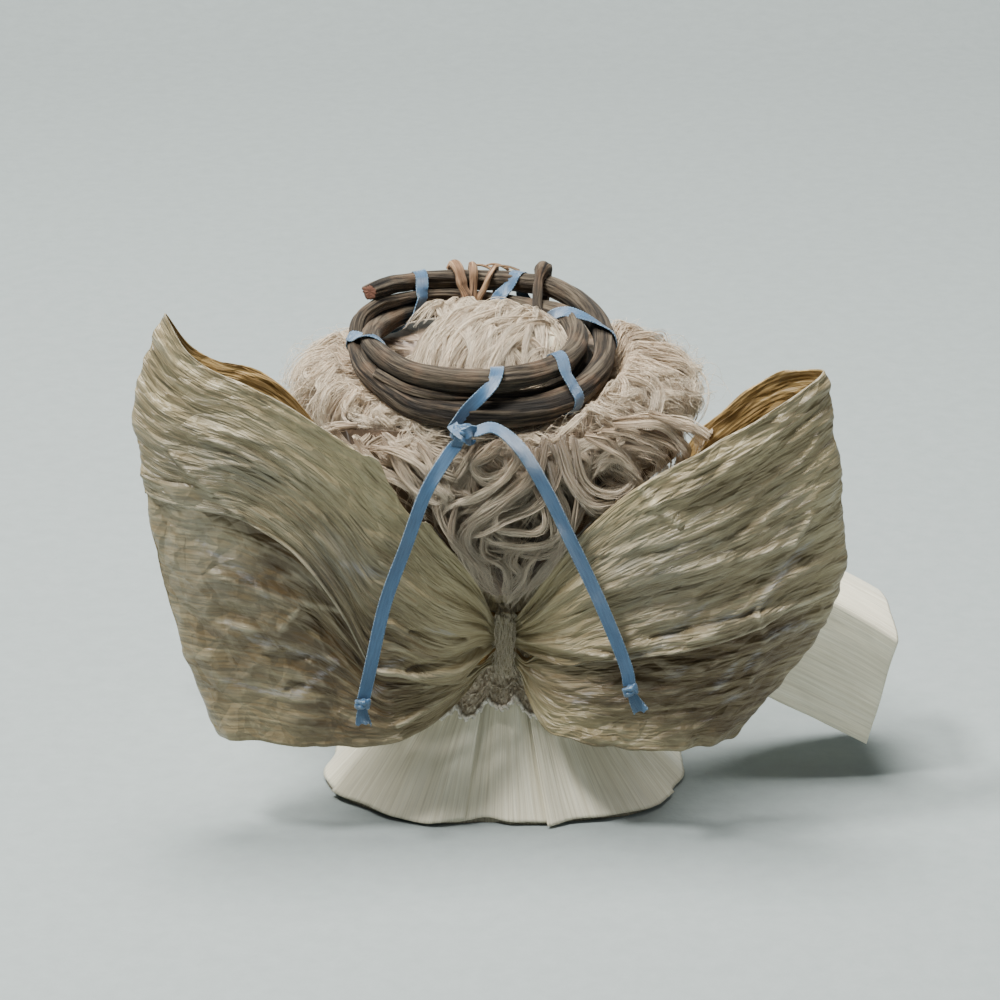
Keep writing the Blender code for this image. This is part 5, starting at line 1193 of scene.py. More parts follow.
crown_rise = np.linspace(-20, 90, 50)[:, None]
strings = noise(mass_turn / 3, crown_rise / 30, seed=84)
turn, rise = np.radians(mass_turn), np.radians(crown_rise)
crown_ball = np.stack(np.broadcast_arrays(np.cos(turn) * np.cos(rise), np.sin(turn) * np.cos(rise), np.sin(rise)), axis=-1)
crown_grid = CROWN_CENTRE + crown_ball * CROWN_HALF * (0.955 + 0.02 * strings[..., None])
lay = np.stack(np.broadcast_arrays(0.7 + 0.25 * strings, 0.3 - 0.3 * strings, mass_turn / 40), axis=-1)
crown_mass = mesh_piece("crown_mass", inside_wreath(crown_grid) * MM, grid_faces(50, 200, closed_columns=True), [mohair_under], "head", lay)
FALL = ((47.0, 1.5), (50.5, 4.0), (54.0, 8.0), (60.0, 14.0), (65.0, 19.5), (70.0, 25.0), (76.0, 31.5), (82.0, 36.5), (87.0, 37.0))
fall_z = np.linspace(50.0, 87, 70)[:, None]
fall_turn = np.linspace(0, TURN, 160, endpoint=False)[None, :]
strings = noise(fall_turn * 5, fall_z / 9, seed=85) + 0.5 * noise(fall_turn * 11, fall_z / 5, seed=86)
fall_wide = read(FALL, fall_z[:, 0])[:, None] * (0.95 + 0.04 * strings)
fall_deep = (1.2 + 2.6 * ease((fall_z - 50) / 22)) * (1 + 0.14 * strings)
square = np.sign(np.cos(fall_turn)) * np.abs(np.cos(fall_turn)) ** 0.55
fall_grid = np.stack([fall_wide * square, -19.4 + fall_deep * np.sin(fall_turn), fall_z + 0 * fall_turn], axis=-1)
fall_grid = behind_wings(fall_grid)
lay = np.stack(np.broadcast_arrays(0.2 + 0.2 * strings, 0.5 - 0.3 * strings, fall_turn), axis=-1)
fall_mass = mesh_piece("fall_mass", fall_grid * MM, grid_faces(70, 160, closed_columns=True), [mohair_under], "head", lay)
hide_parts("hair_back")

# %% [markdown]
# Round the head the locks come out from under the wreath, rise a little and fall in loose ringlets.
# Each guide runs over the hair's rounded form and is then wound into a curl that opens as it goes.

# %% Curls all round the head


def curl(path, radius, pitch, start, grow=1.0):
    """Winds a path into a curl that opens towards its end."""
    ahead = np.gradient(path, axis=0)
    ahead /= np.linalg.norm(ahead, axis=1, keepdims=True)
    side = np.cross(ahead, [0.0, 0.3, 1.0])
    side /= np.linalg.norm(side, axis=1, keepdims=True)
    over = np.cross(side, ahead)
    turn = start + TURN * along(path) / pitch
    wide = radius * (0.30 + 0.70 * np.linspace(0, 1, len(path)) ** grow)
    return path + side * (wide * np.cos(turn))[:, None] + over * (wide * np.sin(turn) * 0.8)[:, None]


side_locks = []
for number in range(330):
    turn = rng.uniform(-205, 165)
    front = math.exp(-(((turn - 90) / 38) ** 4)) if turn > 0 else 0.0
    if front > 0.5 and rng.uniform() < 0.92:
        turn = 90 + math.copysign(rng.uniform(34, 70), turn - 90)
    top, low = rng.uniform(34, 58), rng.uniform(-34, 14)
    sway = rng.uniform(-26, 26)
    turns = turn + sway * share**1.2 + 6 * np.sin(share * rng.uniform(3, 7) + rng.uniform(0, TURN)) * share
    lifts = 0.86 + rng.uniform(-0.03, 0.12) + 0.07 * np.sin(share * math.pi)
    guide = on_cap(turns, top + (low - top) * share**0.9, lifts)
    guide = curl(guide, rng.uniform(1.2, 3.0), rng.uniform(11, 21), rng.uniform(0, TURN))
    guide[:, 2] = np.maximum(guide[:, 2], np.where(guide[:, 1] < -8, 69.0, 73.8))
    side_locks.append(lock_hairs(guide, int(rng.uniform(14, 26)), rng.uniform(1.3, 2.6), 0.26))
for number in range(150):
    turn = rng.choice([rng.uniform(-66, 2), rng.uniform(-182, -118)], p=[0.65, 0.35])
    top, low = rng.uniform(2, 28), rng.uniform(-66, -20)
    guide = on_cap(turn + rng.uniform(-14, 14) * share, top + (low - top) * share, 0.94 + rng.uniform(-0.06, 0.08) + 0 * share)
    guide = curl(guide, rng.uniform(1.0, 2.6), rng.uniform(11, 19), rng.uniform(0, TURN))
    # Locks that fall low round the back of the head get a little painted shade.
    side_locks.append(lock_hairs(guide, 20, rng.uniform(1.6, 2.8), 0.26, dark=0.15))
for number in range(100):
    across = rng.uniform(-25, 15)
    outward = float(ease((-9 - across) / 5))
    close = np.array([(across * 0.8, 8, 101.0), (across * 0.85, 12.5, 97.5), (across * 0.95, 15.5, 93.5), (across * 1.05, 15.5, rng.uniform(87.5, 91))])
    wide = np.array([(across * 0.8, 10, 98.0), (across * 0.9, 18, 95.5), (across * 1.02, 25, 95.0), (across * 1.12, 28.5, rng.uniform(87, 91))])
    keys = close * (1 - outward) + wide * outward
    guide = even_path(keys + rng.uniform(-1, 1, keys.shape), HAIR_POINTS)
    guide = curl(guide, rng.uniform(0.8, 2.0), rng.uniform(10, 18), rng.uniform(0, TURN))
    side_locks.append(lock_hairs(guide, 16, rng.uniform(1.4, 2.6), 0.2))
hair_pieces("side_hair", side_locks, (under_wreath, behind_wings))

# %% [markdown]
# Behind, the hair falls between the wings to a point at the tie. The locks that catch the eye are
# listed, each with a few places across and up that its curl passes: wide loops at the right,
# long bends below the knot and twisted ends at the tie. Random locks fill in behind them.

# %% Locks that fall between the wings


def fall_depth(x, z):
    """How far back the hair stands as it falls."""
    return -22.5 - 5.0 * ease((z - 50) / 20) + 3.0 * (np.abs(x) / 30) ** 2


fall_locks = []
for number in range(210):
    begin = rng.uniform(-1, 1)
    level = rng.uniform(0, 1) ** 0.8
    start_x = -2 + begin * 27
    start = np.array([start_x, -20.5 - 3.5 * math.cos(begin * 1.4) * rng.uniform(0.7, 1), 86.5])
    end_z = 50.0 + 25 * level + 12 * abs(begin) ** 1.5
    reach = float(read(FALL, min(end_z, 82)))
    end_x = begin * reach * rng.uniform(0.4, 1.0) + rng.uniform(-1.2, 1.2)
    end = np.array([end_x, fall_depth(end_x, end_z) + rng.uniform(0.4, 2.0), end_z])
    middle = (start + end) / 2 + np.array([rng.uniform(-4, 4), 0.0, 1.5])
    middle[1] = fall_depth(middle[0], middle[2]) + rng.uniform(0.0, 1.6)
    line = even_path([start, middle, end], HAIR_POINTS)
    swing = rng.uniform(1.5, 4.2) * np.sin(share * rng.uniform(4.0, 8.5) + rng.uniform(0, TURN)) * np.sin(share * math.pi * 0.75 + 0.25)
    line[:, 0] += swing * (0.25 + 0.75 * np.clip((line[:, 2] - 51) / 16, 0, 1))
    line = curl(line, rng.uniform(0.6, 2.0), rng.uniform(11, 20), rng.uniform(0, TURN))
    # Locks that end low, near the tie, get more painted shade.
    fall_locks.append(lock_hairs(line, int(rng.uniform(12, 24)), rng.uniform(1.1, 2.2), 0.18, dark=0.35 + 0.4 * (end_z < 64)))
SHOWN_LOCKS = (
    ((-27.5, 85.0), (-21.0, 84.0), (-15.5, 80.5), (-12.5, 76.0), (-10.0, 71.0)),
    ((-24.0, 85.5), (-21.5, 81.5), (-17.5, 77.0), (-14.0, 74.0), (-11.5, 75.5), (-12.0, 79.0)),
    ((-21.5, 84.0), (-19.5, 78.5), (-16.5, 74.0), (-15.5, 70.0)),
    ((-17.0, 86.0), (-14.5, 82.5), (-15.0, 78.5), (-12.5, 74.5), (-14.5, 71.0)),
    ((4.0, 87.0), (5.5, 82.0), (2.0, 77.0), (-4.0, 73.5), (-10.0, 69.5)),
    ((1.5, 87.0), (2.5, 83.0), (-1.0, 79.0), (-6.0, 75.5), (-11.5, 71.5), (-12.0, 67.5)),
    ((-1.0, 86.5), (-3.5, 84.5), (-6.5, 82.0), (-4.0, 79.5), (0.0, 80.5), (0.5, 83.5)),
    ((8.0, 87.0), (6.0, 80.0), (-1.5, 74.5), (-7.5, 69.0), (-8.5, 63.5), (-5.0, 60.0), (0.5, 59.5)),
    ((7.0, 85.0), (5.0, 78.0), (-2.5, 72.5), (-6.5, 67.5), (-6.5, 62.5), (-2.5, 60.5), (3.5, 62.0)),
    ((9.5, 86.0), (10.5, 79.5), (5.0, 72.5), (-3.0, 69.0), (-9.0, 65.5), (-9.5, 60.5)),
    ((12.0, 87.5), (12.5, 82.5), (14.0, 77.0), (19.0, 73.0), (24.0, 74.0), (25.5, 78.0), (21.0, 81.5)),
    ((11.0, 86.5), (12.0, 80.5), (15.5, 75.0), (21.0, 72.5), (26.5, 75.0), (26.0, 79.5), (20.0, 82.5), (16.5, 80.5)),
    ((14.0, 87.5), (14.0, 81.5), (17.5, 77.0), (22.5, 75.5), (26.5, 78.5), (24.0, 82.5), (18.5, 83.5)),
    ((10.0, 86.0), (13.5, 78.5), (19.0, 71.0), (25.0, 71.5), (29.0, 74.0)),
    ((16.0, 88.0), (21.0, 86.0), (25.0, 82.0), (27.5, 76.5), (24.0, 72.0), (19.5, 69.5)),
    ((19.0, 88.5), (26.0, 88.0), (31.5, 84.5), (31.0, 79.0), (34.5, 74.5)),
    ((22.0, 90.5), (30.0, 90.5), (35.5, 86.0), (36.0, 80.0), (32.5, 75.5)),
    ((8.5, 83.0), (11.0, 76.5), (12.5, 70.0), (11.5, 64.5), (7.5, 62.0), (1.0, 62.0), (-5.0, 64.5)),
    ((7.5, 79.0), (9.5, 73.5), (10.5, 68.5), (8.5, 64.5), (2.5, 64.0), (-4.0, 66.5), (-6.0, 69.5)),
    ((5.5, 77.5), (8.0, 72.5), (7.5, 68.0), (2.5, 67.0), (-2.5, 69.0), (-1.5, 72.5), (3.5, 73.5)),
    ((14.5, 78.0), (14.0, 71.0), (12.0, 65.0), (8.5, 58.5), (4.0, 53.0), (1.0, 48.5)),
    ((12.0, 74.0), (13.0, 67.0), (9.5, 60.0), (5.5, 55.0), (1.5, 50.0)),
    ((15.5, 73.0), (12.5, 65.5), (10.5, 59.5), (5.5, 53.5), (2.5, 49.5)),
    ((-10.0, 74.0), (-10.5, 66.5), (-7.0, 61.0), (-4.5, 55.5), (-1.0, 50.0)),
    ((-8.0, 70.0), (-8.0, 63.0), (-4.0, 58.5), (-2.5, 53.5), (0.0, 49.0)),
    ((-3.5, 68.0), (-4.0, 62.0), (0.5, 57.5), (0.5, 53.0), (1.0, 49.0)),
    ((3.0, 66.0), (0.5, 60.5), (2.5, 56.0), (0.0, 52.5), (1.0, 49.5)),
    ((7.0, 64.5), (5.0, 59.0), (4.5, 55.0), (1.0, 51.0), (0.5, 48.5)),
    ((-14.0, 76.0), (-12.5, 69.0), (-9.0, 63.5), (-6.5, 58.5), (-2.0, 53.0)),
    ((-30.0, 86.0), (-27.0, 81.0), (-22.5, 78.5), (-18.0, 74.0)),
    ((-35.0, 89.0), (-31.0, 84.0), (-26.5, 82.0), (-22.0, 78.0)),
    ((-30.0, 89.0), (-36.5, 88.0), (-39.5, 84.0)), ((26.0, 90.0), (33.0, 87.5), (37.0, 82.5), (35.5, 77.5)),
    ((31.0, 90.5), (38.5, 88.0), (42.0, 83.5), (41.0, 79.0)), ((29.0, 91.5), (36.5, 89.0), (40.0, 84.5), (39.0, 80.0)), ((24.0, 86.5), (29.5, 83.5), (32.5, 79.5), (30.0, 75.0)),
    ((27.0, 88.0), (33.5, 85.0), (34.5, 80.5), (31.5, 78.0), (28.0, 80.0)),
)
for line in SHOWN_LOCKS:
    keys = np.array([(x, fall_depth(x, z), z) for x, z in line])
    for layer in range(3):
        path = even_path(keys + rng.uniform(-0.7, 0.7, keys.shape) * [1, 0.4, 1], HAIR_POINTS)
        path[:, 1] -= 0.9 * layer + 0.9 * np.sin(share * math.pi)
        path = curl(path, rng.uniform(0.3, 0.9), rng.uniform(12, 20), rng.uniform(0, TURN))
        # The listed locks that end low get painted shade.
        fall_locks.append(lock_hairs(path, 19, rng.uniform(1.0, 1.9), 0.22, tip=0.5, dark=0.0 if line[-1][1] > 66 else 0.5))
hair_pieces("fall_hair", fall_locks, (under_wreath, behind_wings))

# %% [markdown]
# Inside the wreath the hair is combed flat, slanting to the left and the front, with a few short
# upright ends at the left where the locks part.

# %% Combed hair inside the wreath
crown_locks = []
for number in range(210):
    start = np.array([rng.uniform(-9, 14), rng.uniform(-9, 13)])
    drift = np.array([rng.uniform(-16, -4), rng.uniform(-20, -8)]) if rng.uniform() < 0.72 else np.array([rng.uniform(1, 10), rng.uniform(-18, -8)])
    plan = start + drift * share[:, None] + np.stack([2.0 * np.sin(share * 3.6 + rng.uniform(0, TURN)), 0 * share], axis=-1)
    guide = crown_place(plan[:, 0], plan[:, 1], rng.uniform(-0.6, 1.0))
    guide[:, 2] += 1.3 * np.sin(share * math.pi) * rng.uniform(0.0, 1)
    crown_locks.append(lock_hairs(guide, int(rng.uniform(10, 20)), rng.uniform(0.9, 2.2), 0.16, tip=0.5, dark=rng.uniform(-0.1, 0.45)))
for number in range(26):
    foot = np.array([rng.uniform(-14, -6), rng.uniform(6, 12), 99.0])
    head_to = foot + np.array([rng.uniform(-2, 4), rng.uniform(-3, 2), rng.uniform(3.0, 5.4)])
    last = head_to + np.array([rng.uniform(-6, 3), rng.uniform(-8, -4), rng.uniform(-3, 0)])
    guide = even_path([foot, (foot + head_to) / 2 + [0.4, 0.5, 1.0], head_to, last], HAIR_POINTS)
    crown_locks.append(lock_hairs(guide, 13, rng.uniform(0.8, 1.7), 0.2, tip=0.6))
hair_pieces("crown_hair", crown_locks, (inside_wreath,))

# %% [markdown]
# Mohair always has flyaway hairs. They stand out from the sides as a thin, tangled halo, and are
# finer than the rest.

# %% Stray hairs
strays = []
for number in range(620):
    turn = rng.choice([rng.uniform(-50, 60), rng.uniform(135, 215), rng.uniform(-110, -60)], p=[0.5, 0.38, 0.12])
    top, low = rng.uniform(0, 50), rng.uniform(-20, 35)
    turns = turn + rng.uniform(-14, 14) * share
    lifts = 0.97 + rng.uniform(0.0, 0.17) * np.sin(share * math.pi * rng.uniform(0.5, 1.0))
    guide = on_cap(turns, top + (low - top) * share, lifts)
    guide = curl(guide, rng.uniform(1.2, 3.8), rng.uniform(6, 13), rng.uniform(0, TURN), 0.6)
    strays.append(lock_hairs(guide, 1, 0.5, 0.3, size=0.036))
hair_pieces("stray_hair", strays, (under_wreath, behind_wings))

# %% [markdown]
# The gown is husk too: eight broad leaves laid over each other round a core and gathered at the
# waist. Husk under a gown is the finest inner leaf, nearly white and satin smooth, with its ribs just
# showing. The same helper makes the core and the leaves, with folds that deepen to the hem.

# %% Skirt
SKIRT_TOP = 37.0
WAIST_RADIUS = 6.5
LAYER = 1.1


def skirt_radius(turn, height):
    share = np.clip((SKIRT_TOP - height) / SKIRT_TOP, 0, 1) ** 1.1
    hem = 38.0 - 13.0 * np.maximum(0, -np.sin(turn)) ** 2
    return WAIST_RADIUS + (hem - WAIST_RADIUS) * share + 0.7 * share * np.sin(8 * turn)


def around_skirt(turn, height, lift):
    radius = skirt_radius(turn, height) + lift
    return np.stack(np.broadcast_arrays(radius * np.cos(turn), radius * np.sin(turn), height), axis=-1)


def gather_height(low, top, up):
    return np.where(up > 5 / 6, SKIRT_TOP + (top - SKIRT_TOP) * (up * 6 - 5), low + (SKIRT_TOP - low) * up * 6 / 5)


up = np.linspace(0, 1, 70)[:, None]
core_turn = np.linspace(0, TURN, 200, endpoint=False)[None, :]
core_high = gather_height(0.0, 40.2, up)
fold = 0.25 * noise(core_turn * 12, up * 3, seed=90) * ease(3 - 3 * up)
core = around_skirt(core_turn, core_high, 0.2 + fold - 0.2)
low_cap = core[:1] * [0.0, 0.0, 1.0]
core = np.concatenate([low_cap, core, core[-1:] * [0.0, 0.0, 1.0]])
lay = np.stack(np.broadcast_arrays(core[..., 2] * MM, core_turn * 0.03, 0.0), axis=-1)
skirt_core = mesh_piece("gown_core", core * MM, grid_faces(len(core), 200, closed_columns=True), [pale_husk], "base", lay)
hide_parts("skirt_core")
for number in range(8):
    layers = 1 + number % 2
    across = np.linspace(0, 1, 84)[None, :]
    turn = TURN * number / 8 + TURN / 8 * 0.6 * (2 * across - 1) + 0.010 * noise(up * 4, seed=91 + number)
    hem_wave = 0.5 * noise(across * 3, seed=95 + number) + 0.3
    high = gather_height(0.6 + np.maximum(hem_wave, -0.2), 41.0, up)
    open_share = ease((41 - high) / 30)
    folds = 0.34 * np.sin(across * 17 + 2 * noise(up * 2, seed=99 + number)) * (0.35 + 0.65 * open_share)
    ribs = 0.06 * noise(across * 46, up * 3, seed=103 + number)
    grid = around_skirt(turn, high, LAYER * layers + np.clip(folds, -0.30, 0.30) + ribs)
    lay = np.stack(np.broadcast_arrays(high * MM + number, across * 0.030 + 0.3 * number, 0.0), axis=-1)
    leaf = sheet_piece(f"gown_leaf_{number + 1}", grid * MM, 0.0003, [cream_husk], "base", lay)
    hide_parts(f"skirt_husk_{number + 1}")
print("gown has a core and", 8, "leaves")

# %% [markdown]
# The band that ties the wings is torn from soft husk fibre, so it is fuzzy. Short fibres lie along
# it and stand off at its edges.

# %% Fuzz on the tie
tie_fibre = hair_material("tie_fibre", (0.330, 0.275, 0.180), (0.520, 0.455, 0.315), (0.620, 0.550, 0.400))
FUZZ = 420
fuzz_side = rng.uniform(-1, 1, (FUZZ, 1))
fuzz_foot = TIE[2] + rng.uniform(-7.0, 6.6, (FUZZ, 1))
fuzz_run = rng.uniform(-3.2, 3.2, (FUZZ, 1))
bulge = np.sin(math.pi * share) * rng.uniform(0.1, 0.7, (FUZZ, 1))
fuzz_x = fuzz_side * 1.9 + fuzz_side * bulge + rng.uniform(-0.5, 0.5, (FUZZ, 1)) * share
fuzz_y = TIE[1] - 2.75 - 0.35 * (1 - fuzz_side**2) - 0.6 * bulge + 0 * share
fuzz_paths = np.stack([fuzz_x, fuzz_y, np.clip(fuzz_foot + fuzz_run * share, TIE[2] - 7.2, TIE[2] + 7.0)], axis=-1)
hair_mesh("tie_fuzz", fuzz_paths, 0.055 * (1 - 0.6 * share) + 0 * fuzz_side, rng.uniform(0, 0.35, (FUZZ, 1)) + 0 * share, tie_fibre, "base")
print("tie has", FUZZ, "fibres")

# %% [markdown]
# The lace is a strip of crochet gathered round the waist: rows of linked loops with a scalloped
# hem. A soft ground cloth gives the strip its body, and the loops are one thread per row, drawn as a
# looping line.

# %% Lace
lace_tone, tree, shader = new_material("ecru_crochet", 0.85, sheen=0.4, specular=0.2)
knots = grain(tree, laid(tree, (900, 900, 900)), detail=4)
blotch = grain(tree, laid(tree, (160, 160, 160)), detail=2)
tone = ramp(tree, spread(tree, knots, 0.3, 0.7), [(0.0, (0.300, 0.240, 0.160)), (0.5, (0.580, 0.495, 0.365)), (1.0, (0.800, 0.730, 0.600))])
paint(tree, shader, mixed(tree, spread(tree, blotch, 0.45, 0.7, 0.0, 0.4), tone, (0.30, 0.235, 0.16)))
raise_bumps(tree, shader, knots, 0.0003)


lace_edge, tree, shader = new_material("pale_crochet_edge", 0.85, sheen=0.4, specular=0.2)
knots = grain(tree, laid(tree, (1200, 1200, 1200)), detail=4)
paint(tree, shader, ramp(tree, spread(tree, knots, 0.3, 0.7), [(0.0, (0.620, 0.550, 0.430)), (1.0, (0.930, 0.890, 0.800))]))
raise_bumps(tree, shader, knots, 0.0003)


def lace_low(turn):
    return 20.3 + 3.0 * np.maximum(0, -np.sin(turn)) ** 12 + 1.6 - 2.6 * np.abs(np.sin(9 * turn + 0.4))


lace_turn = np.linspace(0, TURN, 640, endpoint=False)[None, :]
lace_up = np.linspace(0, 1, 44)[:, None]
lace_high = gather_height(lace_low(lace_turn) + 0.3, 39.0, lace_up)
ruffle = 0.45 * np.sin(24 * lace_turn + 1.5 * noise(lace_turn * 3, lace_up * 2, seed=110)) * ease(2 - 2 * lace_up)
holes = 0.30 * np.sin(lace_turn * 130) * np.sin(lace_high * 4.2) + 0.35 * noise(lace_turn * 22, lace_up * 9, seed=111)
lace_grid = around_skirt(lace_turn, lace_high, 3.3 + ruffle + holes)
lay = lace_grid * MM
lace = sheet_piece("lace_ground", lace_grid * MM, 0.0003, [lace_tone], "base", lay, closed=True)
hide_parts("lace_trim")
for row, level in enumerate((0.01, 0.10, 0.21, 0.33, 0.46, 0.60)):
    steps = np.linspace(0, TURN, 2600)
    loops = 96
    turn = steps + 0.016 * np.sin(loops * steps + row)
    loop_high = (0.42 if row else 0.30) * np.cos(loops * steps + row) * (1.0 + 0.4 * noise(steps * 14, seed=row))
    high = gather_height(lace_low(turn) + 0.2, 39.0, np.full(len(steps), level)) + loop_high
    wave = 0.45 * np.sin(24 * turn + 1.5 * noise(turn * 3, np.full(len(turn), level) * 2, seed=110)) * ease(2 - 2 * level)
    path = around_skirt(turn, high, (3.75 if row else 4.05) + wave + 0.22 * np.sin(loops * steps * 2)) * MM
    rod_piece(f"lace_thread_{row + 1}", path, 0.00020 if row else 0.00040, 6, [lace_tone if row else lace_edge], "base")

# %% [markdown]
# Threads and wires hold the doll together. A thread is two yarns twisted round each other, so each
# tie is drawn as two thin rods that wind round one line.

# %% Thread and ties
cotton, tree, shader = new_material("twisted_thread", 0.8, sheen=0.3, specular=0.2)
fuzz = grain(tree, laid(tree, (2500, 2500, 2500)), detail=3)
paint(tree, shader, ramp(tree, spread(tree, fuzz, 0.3, 0.7), [(0.0, (0.420, 0.350, 0.240)), (1.0, (0.740, 0.660, 0.500))]))
raise_bumps(tree, shader, fuzz, 0.0001)


def wind_thread(name, node, centre, axis, radius, turns, body, pitch=0.96):
    """A two-ply thread wound round an axis."""
    axis = np.array(axis, float) / np.linalg.norm(axis)
    side = np.cross(axis, [0.3, 0.9, 0.1])
    side /= np.linalg.norm(side)
    over = np.cross(axis, side)
    turn = np.linspace(0, TURN * turns, int(60 * turns))[:, None]
    out = side * np.cos(turn) + over * np.sin(turn)
    line = np.array(centre) + out * radius + axis * pitch * (turn / TURN - turns / 2)
    for ply in range(2):
        twist = turn * radius / 0.30 + math.pi * ply
        strand = line + (out * np.cos(twist) + axis * np.sin(twist)) * 0.11
        rod_piece(f"{name}_ply_{ply + 1}", strand * MM, 0.000135, 6, [cotton], body, up=axis + [0.01, 0, 0])
    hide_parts(node)


def sides_of(node):
    low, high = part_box(node)
    return np.array(low) / MM, np.array(high) / MM


for name, node, body in (("waist_thread", "waist_tie", "base"), ("neck_thread", "neck_tie", "head")):
    low, high = sides_of(node)
    turns = 3 if body == "base" else 2
    wind_thread(name, node, (low + high) / 2 * [0, 0, 1], (0, 0, 1), high[0] - 0.25, turns, body)

# %% [markdown]
# Arms are husk rolled on a wire and tied at the wrist, and each goes into a wide sleeve: one broad
# leaf, tied at the shoulder, that opens out and hangs in a soft fold. Seen from behind, the right
# sleeve shows beside the wing as a pale satin panel.

# %% Arms and sleeves
ARM_HEIGHT = 63.0
SLEEVE_LENGTH = 66.0
ARM_TURNS = {"right": math.radians(8.0), "left": math.radians(130.0)}
ARM_ROOTS = {}
for side_name, pivot_x in (("right", 1), ("left", -1)):
    low, high = sides_of(f"{side_name}_arm")
    joint = [j for j in frame["record"]["behaviour"]["joints"] if side_name in j["name"]][0]
    ARM_ROOTS[side_name] = np.array([pivot_x * 15.87, 0.0, ARM_HEIGHT])


def arm_line(side_name, length):
    turn = ARM_TURNS[side_name]
    out = np.array([math.cos(turn), math.sin(turn), 0.0])
    length = np.asarray(length, float)[..., None]
    share = length / SLEEVE_LENGTH
    drop = ARM_HEIGHT * (0.381 * share + 0.127 * np.maximum(share, 0) ** 3)
    return ARM_ROOTS[side_name] + out * length - np.array([0, 0, 1.0]) * drop


def arm_across(side_name):
    turn = ARM_TURNS[side_name]
    return np.array([-math.sin(turn), math.cos(turn), 0.0])


for side_name in ("right", "left"):
    lengths = np.linspace(-2.8, 60.0, 120)
    sizes = read(((-2.8, 0.5), (-2.2, 1.6), (-1.2, 2.5), (0, 2.8), (18, 2.8), (36, 2.66), (48, 2.4), (51, 1.95), (52.6, 1.85), (54.5, 2.5), (57, 2.9), (60, 2.5)), lengths)
    turn = np.arange(30) * TURN / 30
    rolled = sizes[:, None] * (1 + 0.05 * np.sin(5 * turn + lengths[:, None] / 9) + 0.03 * noise(turn * 3, lengths[:, None] / 6, seed=120))
    path = arm_line(side_name, lengths)
    across = arm_across(side_name)
    ring = across * np.cos(turn)[:, None] + np.array([0, 0, 1.0]) * np.sin(turn)[:, None]
    grid = path[:, None] + ring[None] * rolled[..., None]
    tip = arm_line(side_name, 59.2)
    grid = np.concatenate([np.repeat(path[:1, None], 30, 1), grid, grid[-1:] * 0.6 + 0.4 * tip, np.repeat(tip[None, None], 30, 1)])
    lay = np.stack(np.broadcast_arrays(grid[..., 0] * 0 + np.linspace(0, 0.063, len(grid))[:, None], turn * 0.0028, 0.0), axis=-1)
    arm = mesh_piece(f"{side_name}_rolled_arm", grid * MM, grid_faces(len(grid), 30, closed_columns=True), [cream_husk], f"{side_name}_arm", lay)
    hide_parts(f"{side_name}_arm")
    for tie, place, radius in (("wrist", 52.2, 2.45), ("sleeve", 4.5, 3.9)):
        slope = arm_line(side_name, place + 0.3) - arm_line(side_name, place)
        wind_thread(f"{side_name}_{tie}_thread", f"{side_name}_{tie}_tie", arm_line(side_name, place), slope, radius, 2, f"{side_name}_arm")
    u = np.linspace(0, 1, 130)[:, None]
    swing = np.linspace(-1, 1, 150)[None, :]
    hang = np.maximum(0, np.abs(swing) - 0.5) * 2
    length = 3.0 + 63.0 * u * (1 - 0.09 * hang * u) + 0.35 * noise(swing * 5, seed=130) * u**4
    centre = arm_line(side_name, length)
    share = length / SLEEVE_LENGTH
    open_share = ease((share - 0.08) / 0.30)[..., None]
    ring_turn = math.radians(168) * swing
    collar = 3.35
    up_way = np.array([0, 0, 1.0])
    ring = across * (collar * np.sin(ring_turn))[..., None] + up_way * (collar * np.cos(ring_turn))[..., None]
    wide = collar + (12.0 - collar) * read(((0, 0), (0.3, 0.42), (0.6, 0.77), (1, 1)), share)
    crown = collar + (4.8 - collar) * share
    bend = math.pi / 2 * np.minimum(1, np.abs(swing) * 2)
    drop = 0.4365 * ARM_HEIGHT * read(((0, 0), (0.12, 0.12), (0.25, 0.40), (0.5, 0.93), (0.75, 1.0), (1.0, 0.97)), share) * hang
    sway = np.sign(swing) * wide * np.sin(bend)
    drape = across * sway[..., None] + up_way * (crown * np.cos(bend) - drop)[..., None]
    grid = centre + ring * (1 - open_share) + drape * open_share
    gathers = 0.5 * np.sin(swing * 26) * np.exp(-(u * 66) / 9) + 0.35 * np.sin(swing * 9 + 3 * u) * ease(u * 3)
    ribs = 0.05 * noise(swing * 34, u * 4, seed=131) + 0.25 * noise(swing * 3, u * 4, seed=132) + 0.10 * crease(swing * 4 + u * 3, u * 4, seed=133)
    grid = grid + normals(grid) * ((gathers * 0.6 + ribs) * ease(u * 14))[..., None]
    lay = np.stack(np.broadcast_arrays(length * MM, swing * 0.030, 0.0), axis=-1)
    sleeve = sheet_piece(f"{side_name}_sleeve_leaf", grid * MM, 0.0003, [cream_husk], f"{side_name}_arm", lay)
    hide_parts(f"{side_name}_sleeve")
print("arms and sleeves are dressed")

# %% [markdown]
# The head is a cotton ball under one smooth husk, pulled tight and tied at the neck. It has no
# face, as is the custom for corn husk dolls. The body is a bundle of husk with two straps crossed
# over it, and a husk band hides the waist thread.

